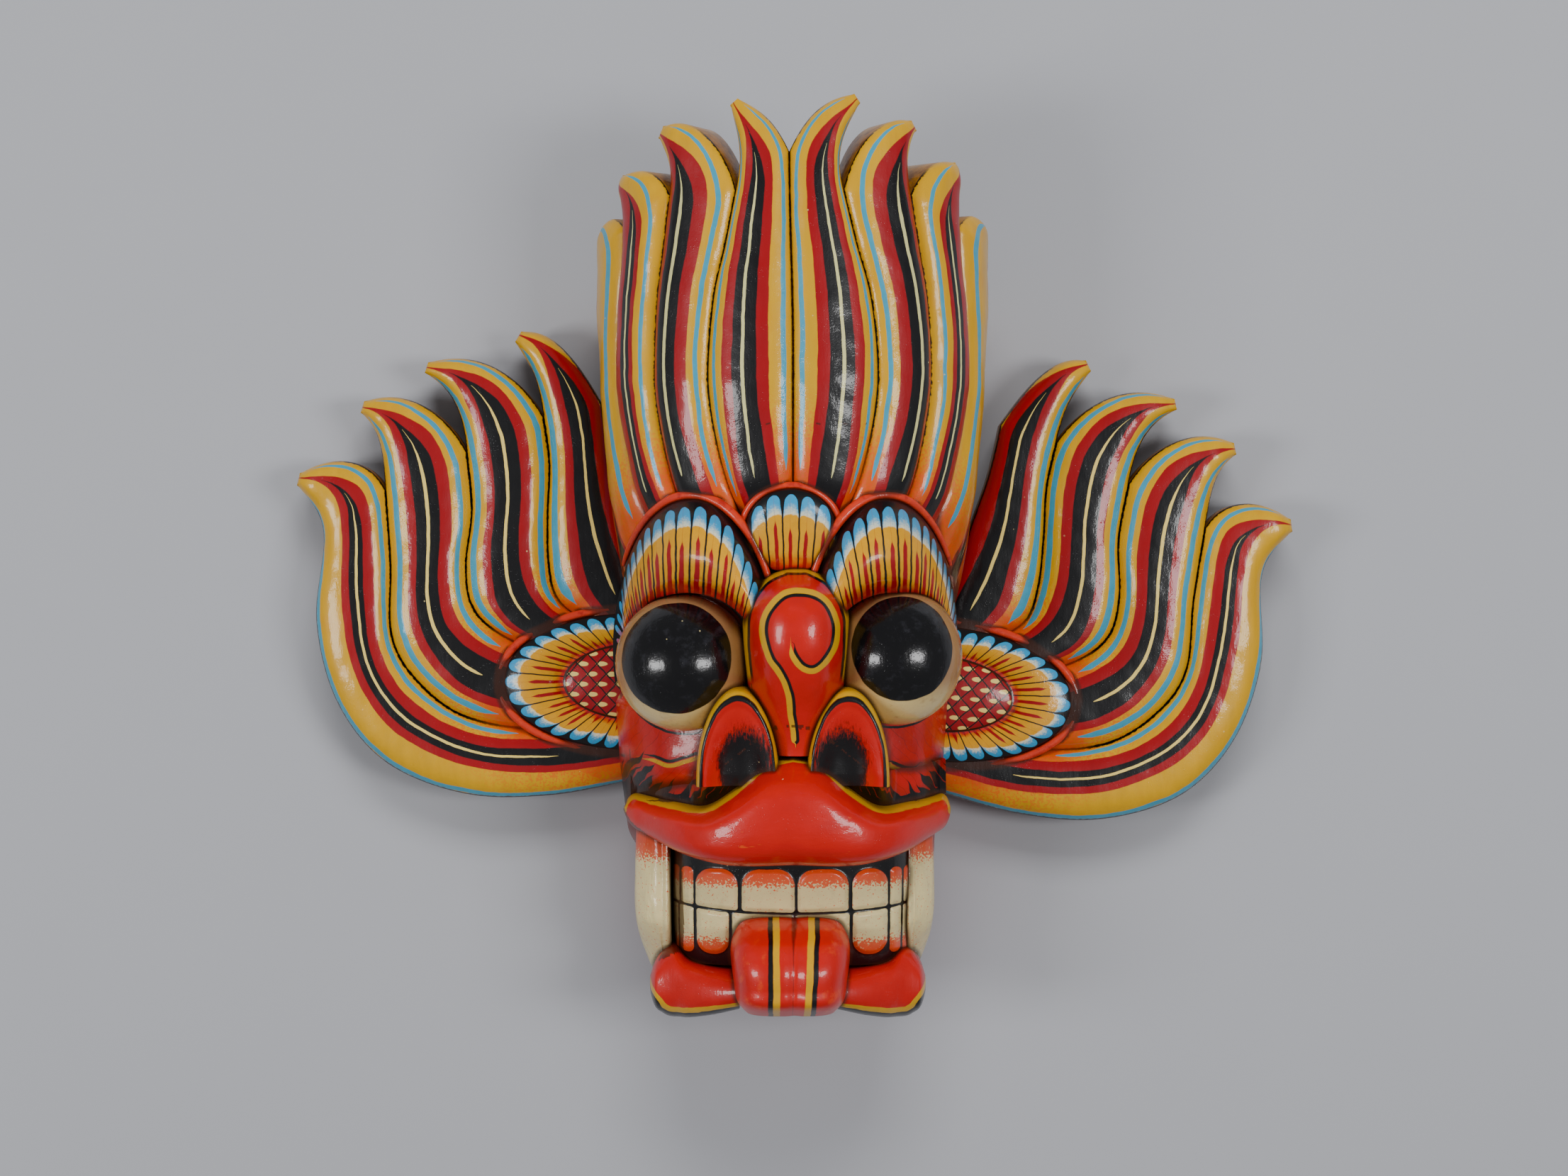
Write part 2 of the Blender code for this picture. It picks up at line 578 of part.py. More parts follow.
def tongue_solid(rows=9, columns=9):
    """The tongue: it comes out between the teeth, swells forward and hangs over the lower lip."""
    share = np.linspace(0, 1, rows)[:, None]
    across = np.linspace(-1, 1, columns)[None, :]
    y = TONGUE["top"] + (TONGUE["bottom"] - TONGUE["top"]) * share + 0 * across
    swell = np.interp(share, (0, 0.08, 0.2, 0.42, 0.7, 0.9, 1.0), (0.30, 0.62, 0.84, 0.98, 1.0, 0.93, 0.72))
    round_off = (1 - np.abs(across) ** 4) ** 0.35
    width = TONGUE["half_width"] * np.interp(share, (0, 0.12, 0.4, 0.85, 1), (0.84, 0.97, 1, 0.97, 0.88))
    groove = TONGUE["groove"] * np.exp(-((across * 8) ** 2))
    depth = section_size(-140)[1]
    z = depth + TONGUE["proud"] * swell * (0.35 + 0.65 * round_off) - groove
    top = np.stack([width * across, y, z], -1)
    bottom = np.stack([width * across, y, depth - 12 + 0 * z], -1)
    return join_solids([slab(top, bottom)])


# Assembly
def material_for(name):
    material = bpy.data.materials.new(name + "_paint")
    material.use_nodes = True
    shader = material.node_tree.nodes["Principled BSDF"]
    shader.inputs["Base Color"].default_value = COLOURS[name]
    shader.inputs["Roughness"].default_value = ROUGHNESS
    shader.inputs["Metallic"].default_value = 0.0
    return material


def boolean(target, meshes, operation, helpers):
    """Adds one Boolean modifier whose operands are hidden helper objects in a collection of their own."""
    group = bpy.data.collections.new(f"{target.name}_{operation.lower()}")
    helpers.children.link(group)
    for number, mesh in enumerate(meshes):
        helper = new_object(f"{group.name}_{number}", mesh, group)
        helper.hide_render = True
        helper.display_type = "WIRE"
    modifier = target.modifiers.new(group.name, "BOOLEAN")
    modifier.operation = operation
    modifier.solver = "EXACT"
    modifier.operand_type = "COLLECTION"
    modifier.collection = group
    return modifier


def finish(target, name):
    target.data.materials.append(material_for(name))
    target.data.shade_smooth()
    target.data.set_sharp_from_angle(angle=math.radians(38))


def make_head(parts, helpers):
    head = new_object("head", block_solid(), parts)
    pieces = [crown_solid(), oval_pad(**FAN), brow_arch(-1), brow_arch(1), eyeball(-1), eyeball(1)]
    pieces += [teeth_solid(), tusk_solid(-1), tusk_solid(1)]
    pieces += [nostril_solid(-1), nostril_solid(1), nose_solid()]
    pieces += [lip_solid(), lower_lip_solid(-1), lower_lip_solid(1), tongue_solid()]
    boolean(head, pieces, "UNION", helpers)
    slots = [wing_tongue(side, gap=FIT_GAP, length=20) for side in (-1, 1)]
    back_plane = block((-90, -180, -20), (90, 180, 0))
    boolean(head, [hollow_solid(), back_plane, *slots], "DIFFERENCE", helpers)
    finish(head, "head")


def make_wing(name, place, parts, helpers):
    wing = new_object(name, wing_flames(place), parts)
    boolean(wing, [ear_flower(place)], "UNION", helpers)
    boolean(wing, [head_fit()], "DIFFERENCE", helpers)
    boolean(wing, [wing_tongue(place["side"])], "UNION", helpers)
    finish(wing, name)


def main():
    for old in list(bpy.data.objects):
        bpy.data.objects.remove(old)
    parts = bpy.data.collections.new("flame_mask")
    helpers = bpy.data.collections.new("cutters")
    for collection in (parts, helpers):
        bpy.context.scene.collection.children.link(collection)
    make_head(parts, helpers)
    make_wing("left_wing", LEFT_WING, parts, helpers)
    make_wing("right_wing", RIGHT_WING, parts, helpers)
    helpers.hide_render = True
    for made in [*parts.objects, *helpers.all_objects]:
        made.location.xy = Vector(ORIGIN_SHIFT) * MM


main()
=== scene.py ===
import math

import bmesh
import bpy
import numpy as np
from mathutils import Matrix, Vector
from mathutils.bvhtree import BVHTree


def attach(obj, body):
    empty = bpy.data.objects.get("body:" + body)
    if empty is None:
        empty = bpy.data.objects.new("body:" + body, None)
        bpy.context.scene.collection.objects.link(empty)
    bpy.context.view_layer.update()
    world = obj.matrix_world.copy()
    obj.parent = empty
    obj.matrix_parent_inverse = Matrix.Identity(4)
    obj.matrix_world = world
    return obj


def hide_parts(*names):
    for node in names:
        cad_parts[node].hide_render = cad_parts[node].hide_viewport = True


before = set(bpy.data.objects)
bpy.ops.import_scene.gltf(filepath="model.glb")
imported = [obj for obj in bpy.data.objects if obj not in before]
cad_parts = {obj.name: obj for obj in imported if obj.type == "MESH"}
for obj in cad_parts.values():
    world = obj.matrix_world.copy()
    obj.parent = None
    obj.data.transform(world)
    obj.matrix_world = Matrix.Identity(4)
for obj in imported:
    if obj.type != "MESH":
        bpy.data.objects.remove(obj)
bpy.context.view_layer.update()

mm = 0.001
originShift = (-1.0, 2.5)  # the whole mask is centred on its own width and height
dressed = {"head": [], "left_wing": [], "right_wing": []}

headShape = dict(
    sections=(  # height, half width, depth
        (172, 71.0, 99.0), (60, 70.5, 98.5), (25, 67.5, 94.0), (-5, 63.0, 87.0), (-40, 60.5, 83.0),
        (-75, 58.0, 80.0), (-100, 55.0, 75.0), (-130, 53.0, 70.0), (-152, 46.0, 60.0),
    ),
    sideHeight=28.0, sideLean=0.10, power=2.15,
    top=46.0, bottom=-152.0, sink=2.0, wall=15.0, jawWall=13.0,
)


# Curves
def spline(points, t):
    p = np.asarray(points, float)
    p = np.vstack([2 * p[0] - p[1], p, 2 * p[-1] - p[-2]])
    at = np.clip(np.asarray(t, float), 0, 1) * (len(p) - 3)
    i = np.minimum(at.astype(int), len(p) - 4)
    f = (at - i)[:, None]
    a, b, c, d = p[i], p[i + 1], p[i + 2], p[i + 3]
    return 0.5 * (2 * b + (c - a) * f + (2 * a - 5 * b + 4 * c - d) * f**2 + (3 * b - a - 3 * c + d) * f**3)


def bezier(start, startWay, end, endWay, t):
    start, end = np.asarray(start, float), np.asarray(end, float)
    length = np.linalg.norm(end - start)
    first = start + np.asarray(startWay) * length * 0.5
    second = end - np.asarray(endWay) * length * 0.34
    t = np.asarray(t, float)[:, None]
    return start * (1 - t) ** 3 + 3 * first * t * (1 - t) ** 2 + 3 * second * t**2 * (1 - t) + end * t**3


def heading(degrees):
    return np.array([math.cos(math.radians(degrees)), math.sin(math.radians(degrees))])


def smooth(x, low, high):
    t = np.clip((np.asarray(x, float) - low) / (high - low), 0, 1)
    return t * t * (3 - 2 * t)


def ease(x, *marks):  # a smooth curve through (place, value) marks
    places, values = np.array(marks, float).T
    slope = np.gradient(values, places)
    x = np.clip(np.asarray(x, float), places[0], places[-1])
    i = np.clip(np.searchsorted(places, x, side="right") - 1, 0, len(places) - 2)
    h = places[i + 1] - places[i]
    t = (x - places[i]) / h
    return ((2 * t**3 - 3 * t**2 + 1) * values[i] + (t**3 - 2 * t**2 + t) * h * slope[i]
            + (3 * t**2 - 2 * t**3) * values[i + 1] + (t**3 - t**2) * h * slope[i + 1])


def softLeast(a, b, blur=2.5):  # the smaller of two, without a corner
    return -blur * math.log(math.exp(-a / blur) + math.exp(-b / blur))


def gone(path):  # the way along a path, from its start
    return np.concatenate([[0], np.cumsum(np.linalg.norm(np.diff(path, axis=0), axis=1))])


def besidePath(x, y, path):  # signed distance from a drawn line, and the way along it
    path = np.asarray(path, float)
    start, way = path[:-1], np.diff(path, axis=0)
    length = np.hypot(way[:, 0], way[:, 1])
    px, py = x.ravel()[:, None] - start[:, 0], y.ravel()[:, None] - start[:, 1]
    t = np.clip((px * way[:, 0] + py * way[:, 1]) / length**2, 0, 1)
    gap = np.hypot(px - t * way[:, 0], py - t * way[:, 1])
    i = gap.argmin(1)
    pick = (np.arange(len(i)), i)
    side = np.where(way[i, 0] * py[pick] - way[i, 1] * px[pick] < 0, -1.0, 1.0)
    along = gone(path)[i] + t[pick] * length[i]
    return (side * gap[pick]).reshape(x.shape), along.reshape(x.shape)


def pastOval(x, y, centre, wide, high):  # distance outside an oval, in millimetres
    dx, dy = x - centre[0], y - centre[1]
    reach = np.hypot(dx / wide, dy / high) + 1e-6
    return np.hypot(dx, dy) * (1 - 1 / reach)


def evenTurns(wide, high, start, end, count):  # angles of an oval at even steps along it, and its length
    angle = np.linspace(start, end, 2000)
    way = gone(np.stack([wide * np.cos(angle), high * np.sin(angle)], -1))
    return np.interp(np.linspace(0, way[-1], count), way, angle), way[-1]


def handCut(x, y, size=1.0):  # the low unevenness that a gouge leaves
    wave = np.sin(x / 4.3 + 1.4 * np.sin(y / 9.1)) * np.sin(y / 6.2 + 1.1 * np.sin(x / 7.7))
    return size * (0.14 * wave + 0.07 * np.sin(x / 1.9 + y / 3.4) * np.sin(y / 2.7))


def spots3(x, y, z):
    return np.stack(np.broadcast_arrays(x, y, z), -1)


# The head's own section
def sectionSize(y):
    rows = np.array(headShape["sections"][::-1], float)
    return np.interp(y, rows[:, 0], rows[:, 1]), np.interp(y, rows[:, 0], rows[:, 2])


def front(x, y):
    width, depth = sectionSize(y)
    low, power = headShape["sideHeight"], headShape["power"]
    share = np.clip(np.abs(x) / width, 0, 1) ** power
    return low + (depth - low) * (1 - share) ** (1 / power)


def around(arc, y, out):  # a place measured round the head, moved outward
    arc, y, out = np.broadcast_arrays(np.asarray(arc, float), y, out)
    width, depth = sectionSize(y)
    radius, low = crown["radius"], headShape["sideHeight"]
    angle = np.clip(arc / radius, -math.pi / 2, math.pi / 2)
    below = np.maximum(np.abs(arc) - radius * math.pi / 2, 0)
    x = (width + out) * np.sin(angle) - np.sign(arc) * below * headShape["sideLean"]
    return spots3(x, y, low + (depth - low + out) * np.cos(angle) - below * 1.12)


# Meshes: a solid is its points, its faces, a kind for each face (0 front, 1 wall, 2 back)
# and marks for the paint
def sheetFaces(rows, columns, start, flip):
    corner = start + np.arange(rows * columns).reshape(rows, columns)[:-1, :-1].ravel()
    quads = np.stack([corner, corner + 1, corner + 1 + columns, corner + columns], 1)
    return (quads[:, ::-1] if flip else quads).tolist()


def slab(top, bottom, marks, walls=None):  # a closed block between two matching grids
    rows, columns = top.shape[:2]
    count = rows * columns
    faces = sheetFaces(rows, columns, 0, False)
    kinds = [0] * len(faces)
    faces += sheetFaces(rows, columns, count, True)
    kinds += [2] * (len(faces) - len(kinds))
    last = (rows - 1) * columns
    edges = {
        "start": [(0, c, c + 1) for c in range(columns - 1)],
        "end": [(0, last + c + 1, last + c) for c in range(columns - 1)],
        "left": [(r, (r + 1) * columns, r * columns) for r in range(rows - 1)],
        "right": [(r, r * columns + columns - 1, (r + 1) * columns + columns - 1) for r in range(rows - 1)],
    }
    for side, pairs in edges.items():
        firstRow = (walls or {}).get(side, 0)
        if firstRow is not None:
            faces += [(b, a, a + count, b + count) for row, a, b in pairs if row >= firstRow]
    kinds += [1] * (len(faces) - len(kinds))
    both = {key: np.tile(np.broadcast_to(value, (rows, columns)).ravel(), 2) for key, value in marks.items()}
    points = np.vstack([top.reshape(-1, 3), bottom.reshape(-1, 3)])
    return dict(points=points, faces=faces, kinds=kinds, marks=both)


def turned(turn, top, bottom, marks):  # the same grids, with their columns the other way round
    if not turn:
        return top, bottom, marks
    marks = {key: np.broadcast_to(value, top.shape[:2])[:, ::-1] for key, value in marks.items()}
    return top[:, ::-1], bottom[:, ::-1], marks


def roll(rings, marks):  # a closed loft through rings of points, with its two ends drawn in
    rings = np.asarray(rings, float)
    closing = ((0, 0.0), (0, 0.5), (-1, 0.5), (-1, 0.0))
    ends = [rings[i].mean(0) + (rings[i] - rings[i].mean(0)) * share for i, share in closing]
    full = np.concatenate([ends[:2], rings, ends[2:]])
    full = np.concatenate([full, full[:, :1]], 1)
    grown = {}
    for key, value in marks.items():
        value = np.broadcast_to(value, rings.shape[:2])
        value = np.concatenate([value[:1], value[:1], value, value[-1:], value[-1:]])
        grown[key] = np.concatenate([value, value[:, :1]], 1).ravel()
    faces = sheetFaces(*full.shape[:2], 0, False)
    return dict(points=full.reshape(-1, 3), faces=faces, kinds=[0] * len(faces), marks=grown)


def makePiece(name, solids, materials, node="head", sharp=60):
    start, faces, kinds = 0, [], []
    for solid in solids:
        faces += [[i + start for i in face] for face in solid["faces"]]
        kinds += solid["kinds"]
        start += len(solid["points"])
    points = np.vstack([solid["points"] for solid in solids])
    points[:, :2] += originShift
    mesh = bpy.data.meshes.new(name)
    mesh.from_pydata((points * mm).tolist(), [], faces)
    corners = np.empty(len(mesh.loops), np.int32)
    mesh.loops.foreach_get("vertex_index", corners)
    marks = {
        key: np.concatenate([solid["marks"][key] for solid in solids])[corners] for key in solids[0]["marks"]
    }
    kindAt = np.repeat(kinds, [len(face) for face in faces])
    marks["wall"] = np.where(kindAt == 1, 1, 0)
    for key, values in marks.items():
        mesh.attributes.new(key, "FLOAT", "CORNER").data.foreach_set("value", values.astype(np.float32))
    hasBack = len(materials) > 1
    mesh.polygons.foreach_set("material_index", [1 if kind == 2 and hasBack else 0 for kind in kinds])
    shape = bmesh.new()
    shape.from_mesh(mesh)
    bmesh.ops.remove_doubles(shape, verts=shape.verts, dist=0.01 * mm)
    bmesh.ops.recalc_face_normals(shape, faces=shape.faces)
    shape.to_mesh(mesh)
    shape.free()
    for material in materials:
        mesh.materials.append(material)
    mesh.shade_smooth()
    mesh.set_sharp_from_angle(angle=math.radians(sharp))
    piece = bpy.data.objects.new(name, mesh)
    bpy.context.scene.collection.objects.link(piece)
    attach(piece, "root")
    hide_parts(node)
    dressed[node].append(piece)
    print("made", name, len(mesh.polygons), "faces")


def sided(name, side):
    return name + ("Left" if side < 0 else "Right")


# Paint: colours are given as they look on a screen
def tint(red, green, blue):
    values = [c / 255 for c in (red, green, blue)]
    return tuple(c / 12.92 if c < 0.04045 else ((c + 0.055) / 1.055) ** 2.4 for c in values) + (1.0,)


paint = dict(
    yellow=tint(208, 156, 0), ochre=tint(216, 152, 0), orange=tint(206, 72, 0), red=tint(152, 0, 14),
    face=tint(194, 10, 0), faceLight=tint(222, 62, 24), faceDark=tint(158, 22, 14),
    noseDark=tint(176, 24, 20), lipDark=tint(176, 8, 8), scratch=tint(232, 96, 10),
    tongueLight=tint(226, 78, 6), fold=tint(96, 22, 16),
    rim=tint(206, 52, 24), rimDark=tint(172, 28, 18), black=tint(11, 10, 12), blackWorn=tint(48, 48, 54),
    hair=tint(96, 16, 8), cream=tint(236, 208, 112), pale=tint(212, 206, 140), white=tint(226, 222, 190),
    blue=tint(58, 150, 178), sky=tint(36, 150, 200), bone=tint(226, 208, 150), boneDark=tint(186, 168, 120),
    sclera=tint(214, 190, 130), scleraDark=tint(160, 120, 74), lidAndShade=tint(124, 64, 30),
    stipple=tint(226, 66, 10), dirtAndShade=tint(58, 26, 12), dust=tint(164, 108, 14), grimeAndShade=tint(112, 66, 16),
    wood=tint(150, 112, 74), woodWarm=tint(104, 74, 50), woodDark=tint(84, 56, 36), woodDeep=tint(58, 38, 26),
)
gloss = dict(
    roughness=0.40, specular=0.30, coat=0.46, coatRoughness=0.10, relief=0.55,
    brush=(1.7, 0.14), bubble=(0.95, 0.07), wave=(6.5, 0.28), grain=(0.6, 0.045),  # size and height in mm
    chips=0.5, lineBlur=0.14,
)


class Brushwork:  # writes the nodes of one finish
    def __init__(self, name):
        self.material = bpy.data.materials.new(name)
        self.material.use_nodes = True
        self.tree = self.material.node_tree
        self.shader = self.tree.nodes["Principled BSDF"]
        self.place = self.node("ShaderNodeTexCoord").outputs["Object"]

    def node(self, kind, **settings):
        made = self.tree.nodes.new(kind)
        for key, value in settings.items():
            setattr(made, key, value)
        return made

    def put(self, socket, value):
        if isinstance(value, bpy.types.NodeSocket):
            self.tree.links.new(value, socket)
        else:
            socket.default_value = value

    def calc(self, way, a, b=0.0):
        made = self.node("ShaderNodeMath", operation=way)
        self.put(made.inputs[0], a)
        self.put(made.inputs[1], b)
        return made.outputs[0]

    def add(self, a, b):
        return self.calc("ADD", a, b)

    def sub(self, a, b):
        return self.calc("SUBTRACT", a, b)

    def times(self, a, b):
        return self.calc("MULTIPLY", a, b)

    def over(self, a, b):
        return self.calc("DIVIDE", a, b)

    def least(self, a, b):
        return self.calc("MINIMUM", a, b)

    def most(self, a, b):
        return self.calc("MAXIMUM", a, b)

    def size(self, a):
        return self.calc("ABSOLUTE", a)

    def part(self, a):
        return self.calc("FRACT", a)

    def mark(self, name):
        return self.node("ShaderNodeAttribute", attribute_name=name).outputs["Fac"]

    def chance(self, count):  # a random share, the same for each whole number of count
        made = self.node("ShaderNodeTexWhiteNoise", noise_dimensions="1D")
        self.put(made.inputs["W"], self.calc("FLOOR", count))
        return made.outputs["Value"]

    def soft(self, value, low, high):  # 0 at low, 1 at high
        made = self.node("ShaderNodeMapRange", interpolation_type="SMOOTHSTEP")
        self.put(made.inputs["Value"], value)
        self.put(made.inputs["From Min"], low)
        self.put(made.inputs["From Max"], high)
        return made.outputs[0]

    def inside(self, depth, blur=gloss["lineBlur"]):  # a crisp brushed edge where depth passes zero
        return self.soft(depth, -blur, blur)

    def within(self, away, reach, blur=gloss["lineBlur"]):
        return self.inside(self.sub(reach, away), blur)

    def band(self, at, middle, half, blur=gloss["lineBlur"]):
        return self.within(self.size(self.sub(at, middle)), half, blur)

    def noise(self, size, detail=2.0, rough=0.5, stretch=None):  # size in millimetres
        made = self.node("ShaderNodeTexNoise")
        place = self.place
        if stretch:
            turn = self.node("ShaderNodeMapping")
            self.put(turn.inputs["Vector"], place)
            turn.inputs["Scale"].default_value = stretch
            place = turn.outputs[0]
        self.put(made.inputs["Vector"], place)
        made.inputs["Scale"].default_value = 1 / (size * mm)
        made.inputs["Detail"].default_value = detail
        made.inputs["Roughness"].default_value = rough
        return made.outputs["Fac"]

    def wobble(self, size, reach):  # plus or minus reach, in millimetres
        return self.times(self.sub(self.noise(size, 2), 0.5), 2.6 * reach)

    def waver(self, value, size, reach):  # a drawn line's distance, unsteady as a hand is
        return self.add(value, self.wobble(size, reach))

    def spots(self, size):
        made = self.node("ShaderNodeTexVoronoi")
        self.put(made.inputs["Vector"], self.place)
        made.inputs["Scale"].default_value = 1 / (size * mm)
        return made.outputs["Distance"]

    def blend(self, mask, under, over):
        made = self.node("ShaderNodeMix", data_type="RGBA")
        self.put(made.inputs[0], mask)
        self.put(made.inputs[6], under)
        self.put(made.inputs[7], over)
        return made.outputs[2]

    def mottle(self, under, over, size, low, high, share=1.0, detail=4, rough=0.6, stretch=None):
        patch = self.soft(self.noise(size, detail, rough, stretch), low, high)
        return self.blend(self.times(patch, share), under, over)

    def shade(self, colour, amount, size=9, stretch=None):  # lighter and darker strokes of one colour
        value = self.node("ShaderNodeHueSaturation")
        self.put(value.inputs["Color"], colour)
        spread = self.noise(size, 3, 0.6, stretch)
        self.put(value.inputs["Value"], self.add(1 - amount / 2, self.times(spread, amount)))
        return value.outputs[0]

    def lineYellow(self):
        return self.shade(paint["yellow"], 0.2, 4)

    def agedAndShaded(self, colour, reach=1.5):  # painted shade and dust where pieces meet, and chips on worn spots
        patch = self.noise(7, 4, 0.6)
        # darker where another piece is near: painted shade, with some dust
        near = self.soft(self.add(self.mark("crevice"), self.times(patch, -0.9)), reach, -0.25)
        colour = self.blend(self.times(near, 0.8), colour, paint["dirtAndShade"])
        chip = self.soft(self.add(self.spots(5.5), self.times(self.noise(1.2, 2), 0.12)), 0.125, 0.105)
        chip = self.times(chip, self.soft(self.noise(26, 1), 0.60, 0.66))
        return self.blend(self.times(chip, gloss["chips"]), colour, paint["bone"])

    def carve(self, height, strength, *sockets):
        bump = self.node("ShaderNodeBump")
        bump.inputs["Strength"].default_value = strength
        bump.inputs["Distance"].default_value = mm
        self.put(bump.inputs["Height"], height)
        for name in sockets:
            self.put(self.shader.inputs[name], bump.outputs[0])

    def enamel(self, colour, rough=gloss["roughness"], stroke=(1, 0.25, 1), bumps=None):
        self.put(self.shader.inputs["Base Color"], colour)
        cloud = self.noise(11, 3, 0.6)
        self.put(self.shader.inputs["Roughness"], self.add(rough - 0.07, self.times(cloud, 0.16)))
        self.shader.inputs["Specular IOR Level"].default_value = gloss["specular"]
        self.shader.inputs["Coat Weight"].default_value = gloss["coat"]
        self.shader.inputs["Coat Roughness"].default_value = gloss["coatRoughness"]
        height = self.times(self.noise(gloss["brush"][0], 3, 0.55, stroke), gloss["brush"][1])
        bubble = self.soft(self.spots(gloss["bubble"][0]), 0.26, 0.12)
        bubble = self.times(bubble, self.soft(self.noise(6, 2), 0.46, 0.62))
        height = self.add(height, self.times(bubble, gloss["bubble"][1]))
        height = self.add(height, self.times(self.noise(gloss["wave"][0], 2), gloss["wave"][1]))
        height = self.add(height, self.times(self.noise(gloss["grain"][0], 1), gloss["grain"][1]))
        if bumps is not None:
            height = self.add(height, bumps)
        self.carve(height, gloss["relief"], "Normal", "Coat Normal")
        return self.material


def rawWood(name):
    b = Brushwork(name)
    grain = b.noise(1.6, 5, 0.65, (1, 0.09, 1))
    colour = b.blend(b.soft(grain, 0.32, 0.7), paint["woodDark"], paint["wood"])
    colour = b.mottle(colour, paint["woodWarm"], 22, 0.45, 0.7, 0.55, detail=3, stretch=(1, 0.3, 1))
    colour = b.mottle(colour, paint["woodDeep"], 5, 0.58, 0.7, 0.4, rough=0.5)
    b.put(b.shader.inputs["Base Color"], colour)
    b.put(b.shader.inputs["Roughness"], b.add(0.7, b.times(grain, 0.2)))
    b.carve(b.add(b.times(grain, 0.35), b.times(b.noise(9, 2), 0.5)), 0.7, "Normal")
    return b.material


# Striped flames: yellow ground, red, black and cream tongues, blue lines
def flamePaint(name, creamColour, lineHalf, fade):
    b = Brushwork(name)
    at = b.add(b.mark("across"), b.add(b.wobble(16, 0.55), b.wobble(2.6, 0.12)))
    root, tip = b.mark("rootWay"), b.mark("tipWay")
    colour = b.shade(paint["yellow"], 0.34, 5, (1, 0.2, 1))
    colour = b.mottle(colour, paint["orange"], 10, 0.5, 0.72, 0.09)
    rootFade = b.times(b.soft(b.waver(root, 5, 3.2), fade, 2), 0.9)
    colour = b.blend(rootFade, colour, b.shade(paint["orange"], 0.4, 4))
    stipple = b.times(b.soft(b.noise(0.9, 1), 0.5, 0.56), b.soft(root, 34, 12))
    colour = b.blend(b.times(stipple, 0.5), colour, paint["stipple"])

    def stripe(key, blur=gloss["lineBlur"]):
        return b.band(at, b.mark(key + "Mid"), b.mark(key + "Half"), blur)

    colour = b.blend(b.most(stripe("blueOut"), stripe("blueIn")), colour, b.shade(paint["blue"], 0.35, 4))
    colour = b.blend(stripe("red"), colour, b.shade(paint["red"], 0.3, 6, (1, 0.3, 1)))
    colour = b.blend(stripe("black", 0.2), colour, paint["black"])
    colour = b.blend(stripe("cream", 0.1), colour, b.shade(creamColour, 0.2, 3))
    ragged = b.add(b.wobble(1.4, 0.3), lineHalf)
    line = b.times(b.within(b.mark("edgeWay"), ragged, 0.12), b.soft(tip, 6, 14))
    colour = b.blend(b.times(line, b.sub(1, b.times(rootFade, 0.7))), colour, paint["black"])
    # the side walls: a mottled yellow-brown of dust, darkened as painted shade
    grimeAndShade = b.mottle(paint["dust"], paint["grimeAndShade"], 4, 0.38, 0.66, rough=0.65)
    colour = b.blend(b.times(b.mark("wall"), 0.78), colour, grimeAndShade)
    return b.enamel(b.agedAndShaded(colour, 0.9))


# Petals on a black ground: sky-blue tips, a white band, ochre bodies with one red stroke each
def petalLayers(b, gap, tips, body, strokeHalf, baseFade):
    ring = b.waver(b.mark("ringWay"), 4, 0.35)
    petal, wide, inner = b.mark("petal"), b.mark("petalWide"), b.mark("innerWay")
    chance = b.chance(petal)
    off = b.waver(b.times(b.sub(b.part(petal), 0.5), wide), 5, 0.25)
    away = b.size(off)
    apart = b.add(gap * 0.5, b.times(b.soft(ring, body + 3, 2), gap))
    half = b.sub(b.times(wide, 0.5), apart)
    full = b.over(away, half)
    fullSquare = b.times(full, full)
    roundTip = b.sub(1, b.calc("SQRT", b.most(b.sub(1, fullSquare), 0.0)))
    tipLine = b.add(b.mark("groundWay"), b.times(chance, 0.9))
    depth = b.sub(b.sub(ring, tipLine), b.times(roundTip, b.times(wide, 0.42)))
    grain = b.times(b.sub(b.noise(0.7, 1), 0.5), 3.4)
    colour = b.blend(b.soft(b.add(depth, grain), tips * 0.35, tips), paint["sky"], paint["white"])
    bodyEdge = b.sub(b.sub(depth, body), b.times(fullSquare, -1.2))
    bodyMask = b.inside(b.add(bodyEdge, b.times(grain, 0.22)), 0.3)
    colour = b.blend(bodyMask, colour, b.shade(paint["ochre"], 0.3, 3))
    base = b.soft(b.waver(inner, 3, 1.6), baseFade, baseFade * 0.1)
    colour = b.blend(base, colour, b.shade(paint["face"], 0.3, 4))
    strokeStart = b.add(body + 1.0, b.times(chance, 3.5))
    stroke = b.times(b.soft(b.sub(depth, strokeStart), 0, 3.5), strokeHalf)
    beside = b.size(b.add(off, b.times(b.sub(chance, 0.5), 0.7)))
    colour = b.blend(b.within(beside, stroke, 0.13), colour, paint["red"])
    return b.blend(b.inside(b.least(depth, b.sub(half, away)), 0.13), paint["black"], colour)


backWood = rawWood("rawBackWood")
print("stage: tools and colours ready")


# Camera, light and floor
studio = dict(
    camera=(-0.0041, -0.0083, 1.0), viewWidth=0.5972, floor=tint(172, 173, 178), floorReach=3.0,
    room=(0.92, 0.95, 1.0, 1), roomLight=0.25,
    lamps=(  # name, place, width, height, power, and whether it shows in the gloss
        ("leftBox", (-0.95, -0.10, 1.00), 0.30, 0.50, 7.5, True),
        ("rightBox", (0.76, -0.02, 1.15), 0.28, 0.50, 7.5, True),
        ("topBox", (0.1, 1.10, 1.3), 0.9, 0.5, 16.0, False),
    ),
)


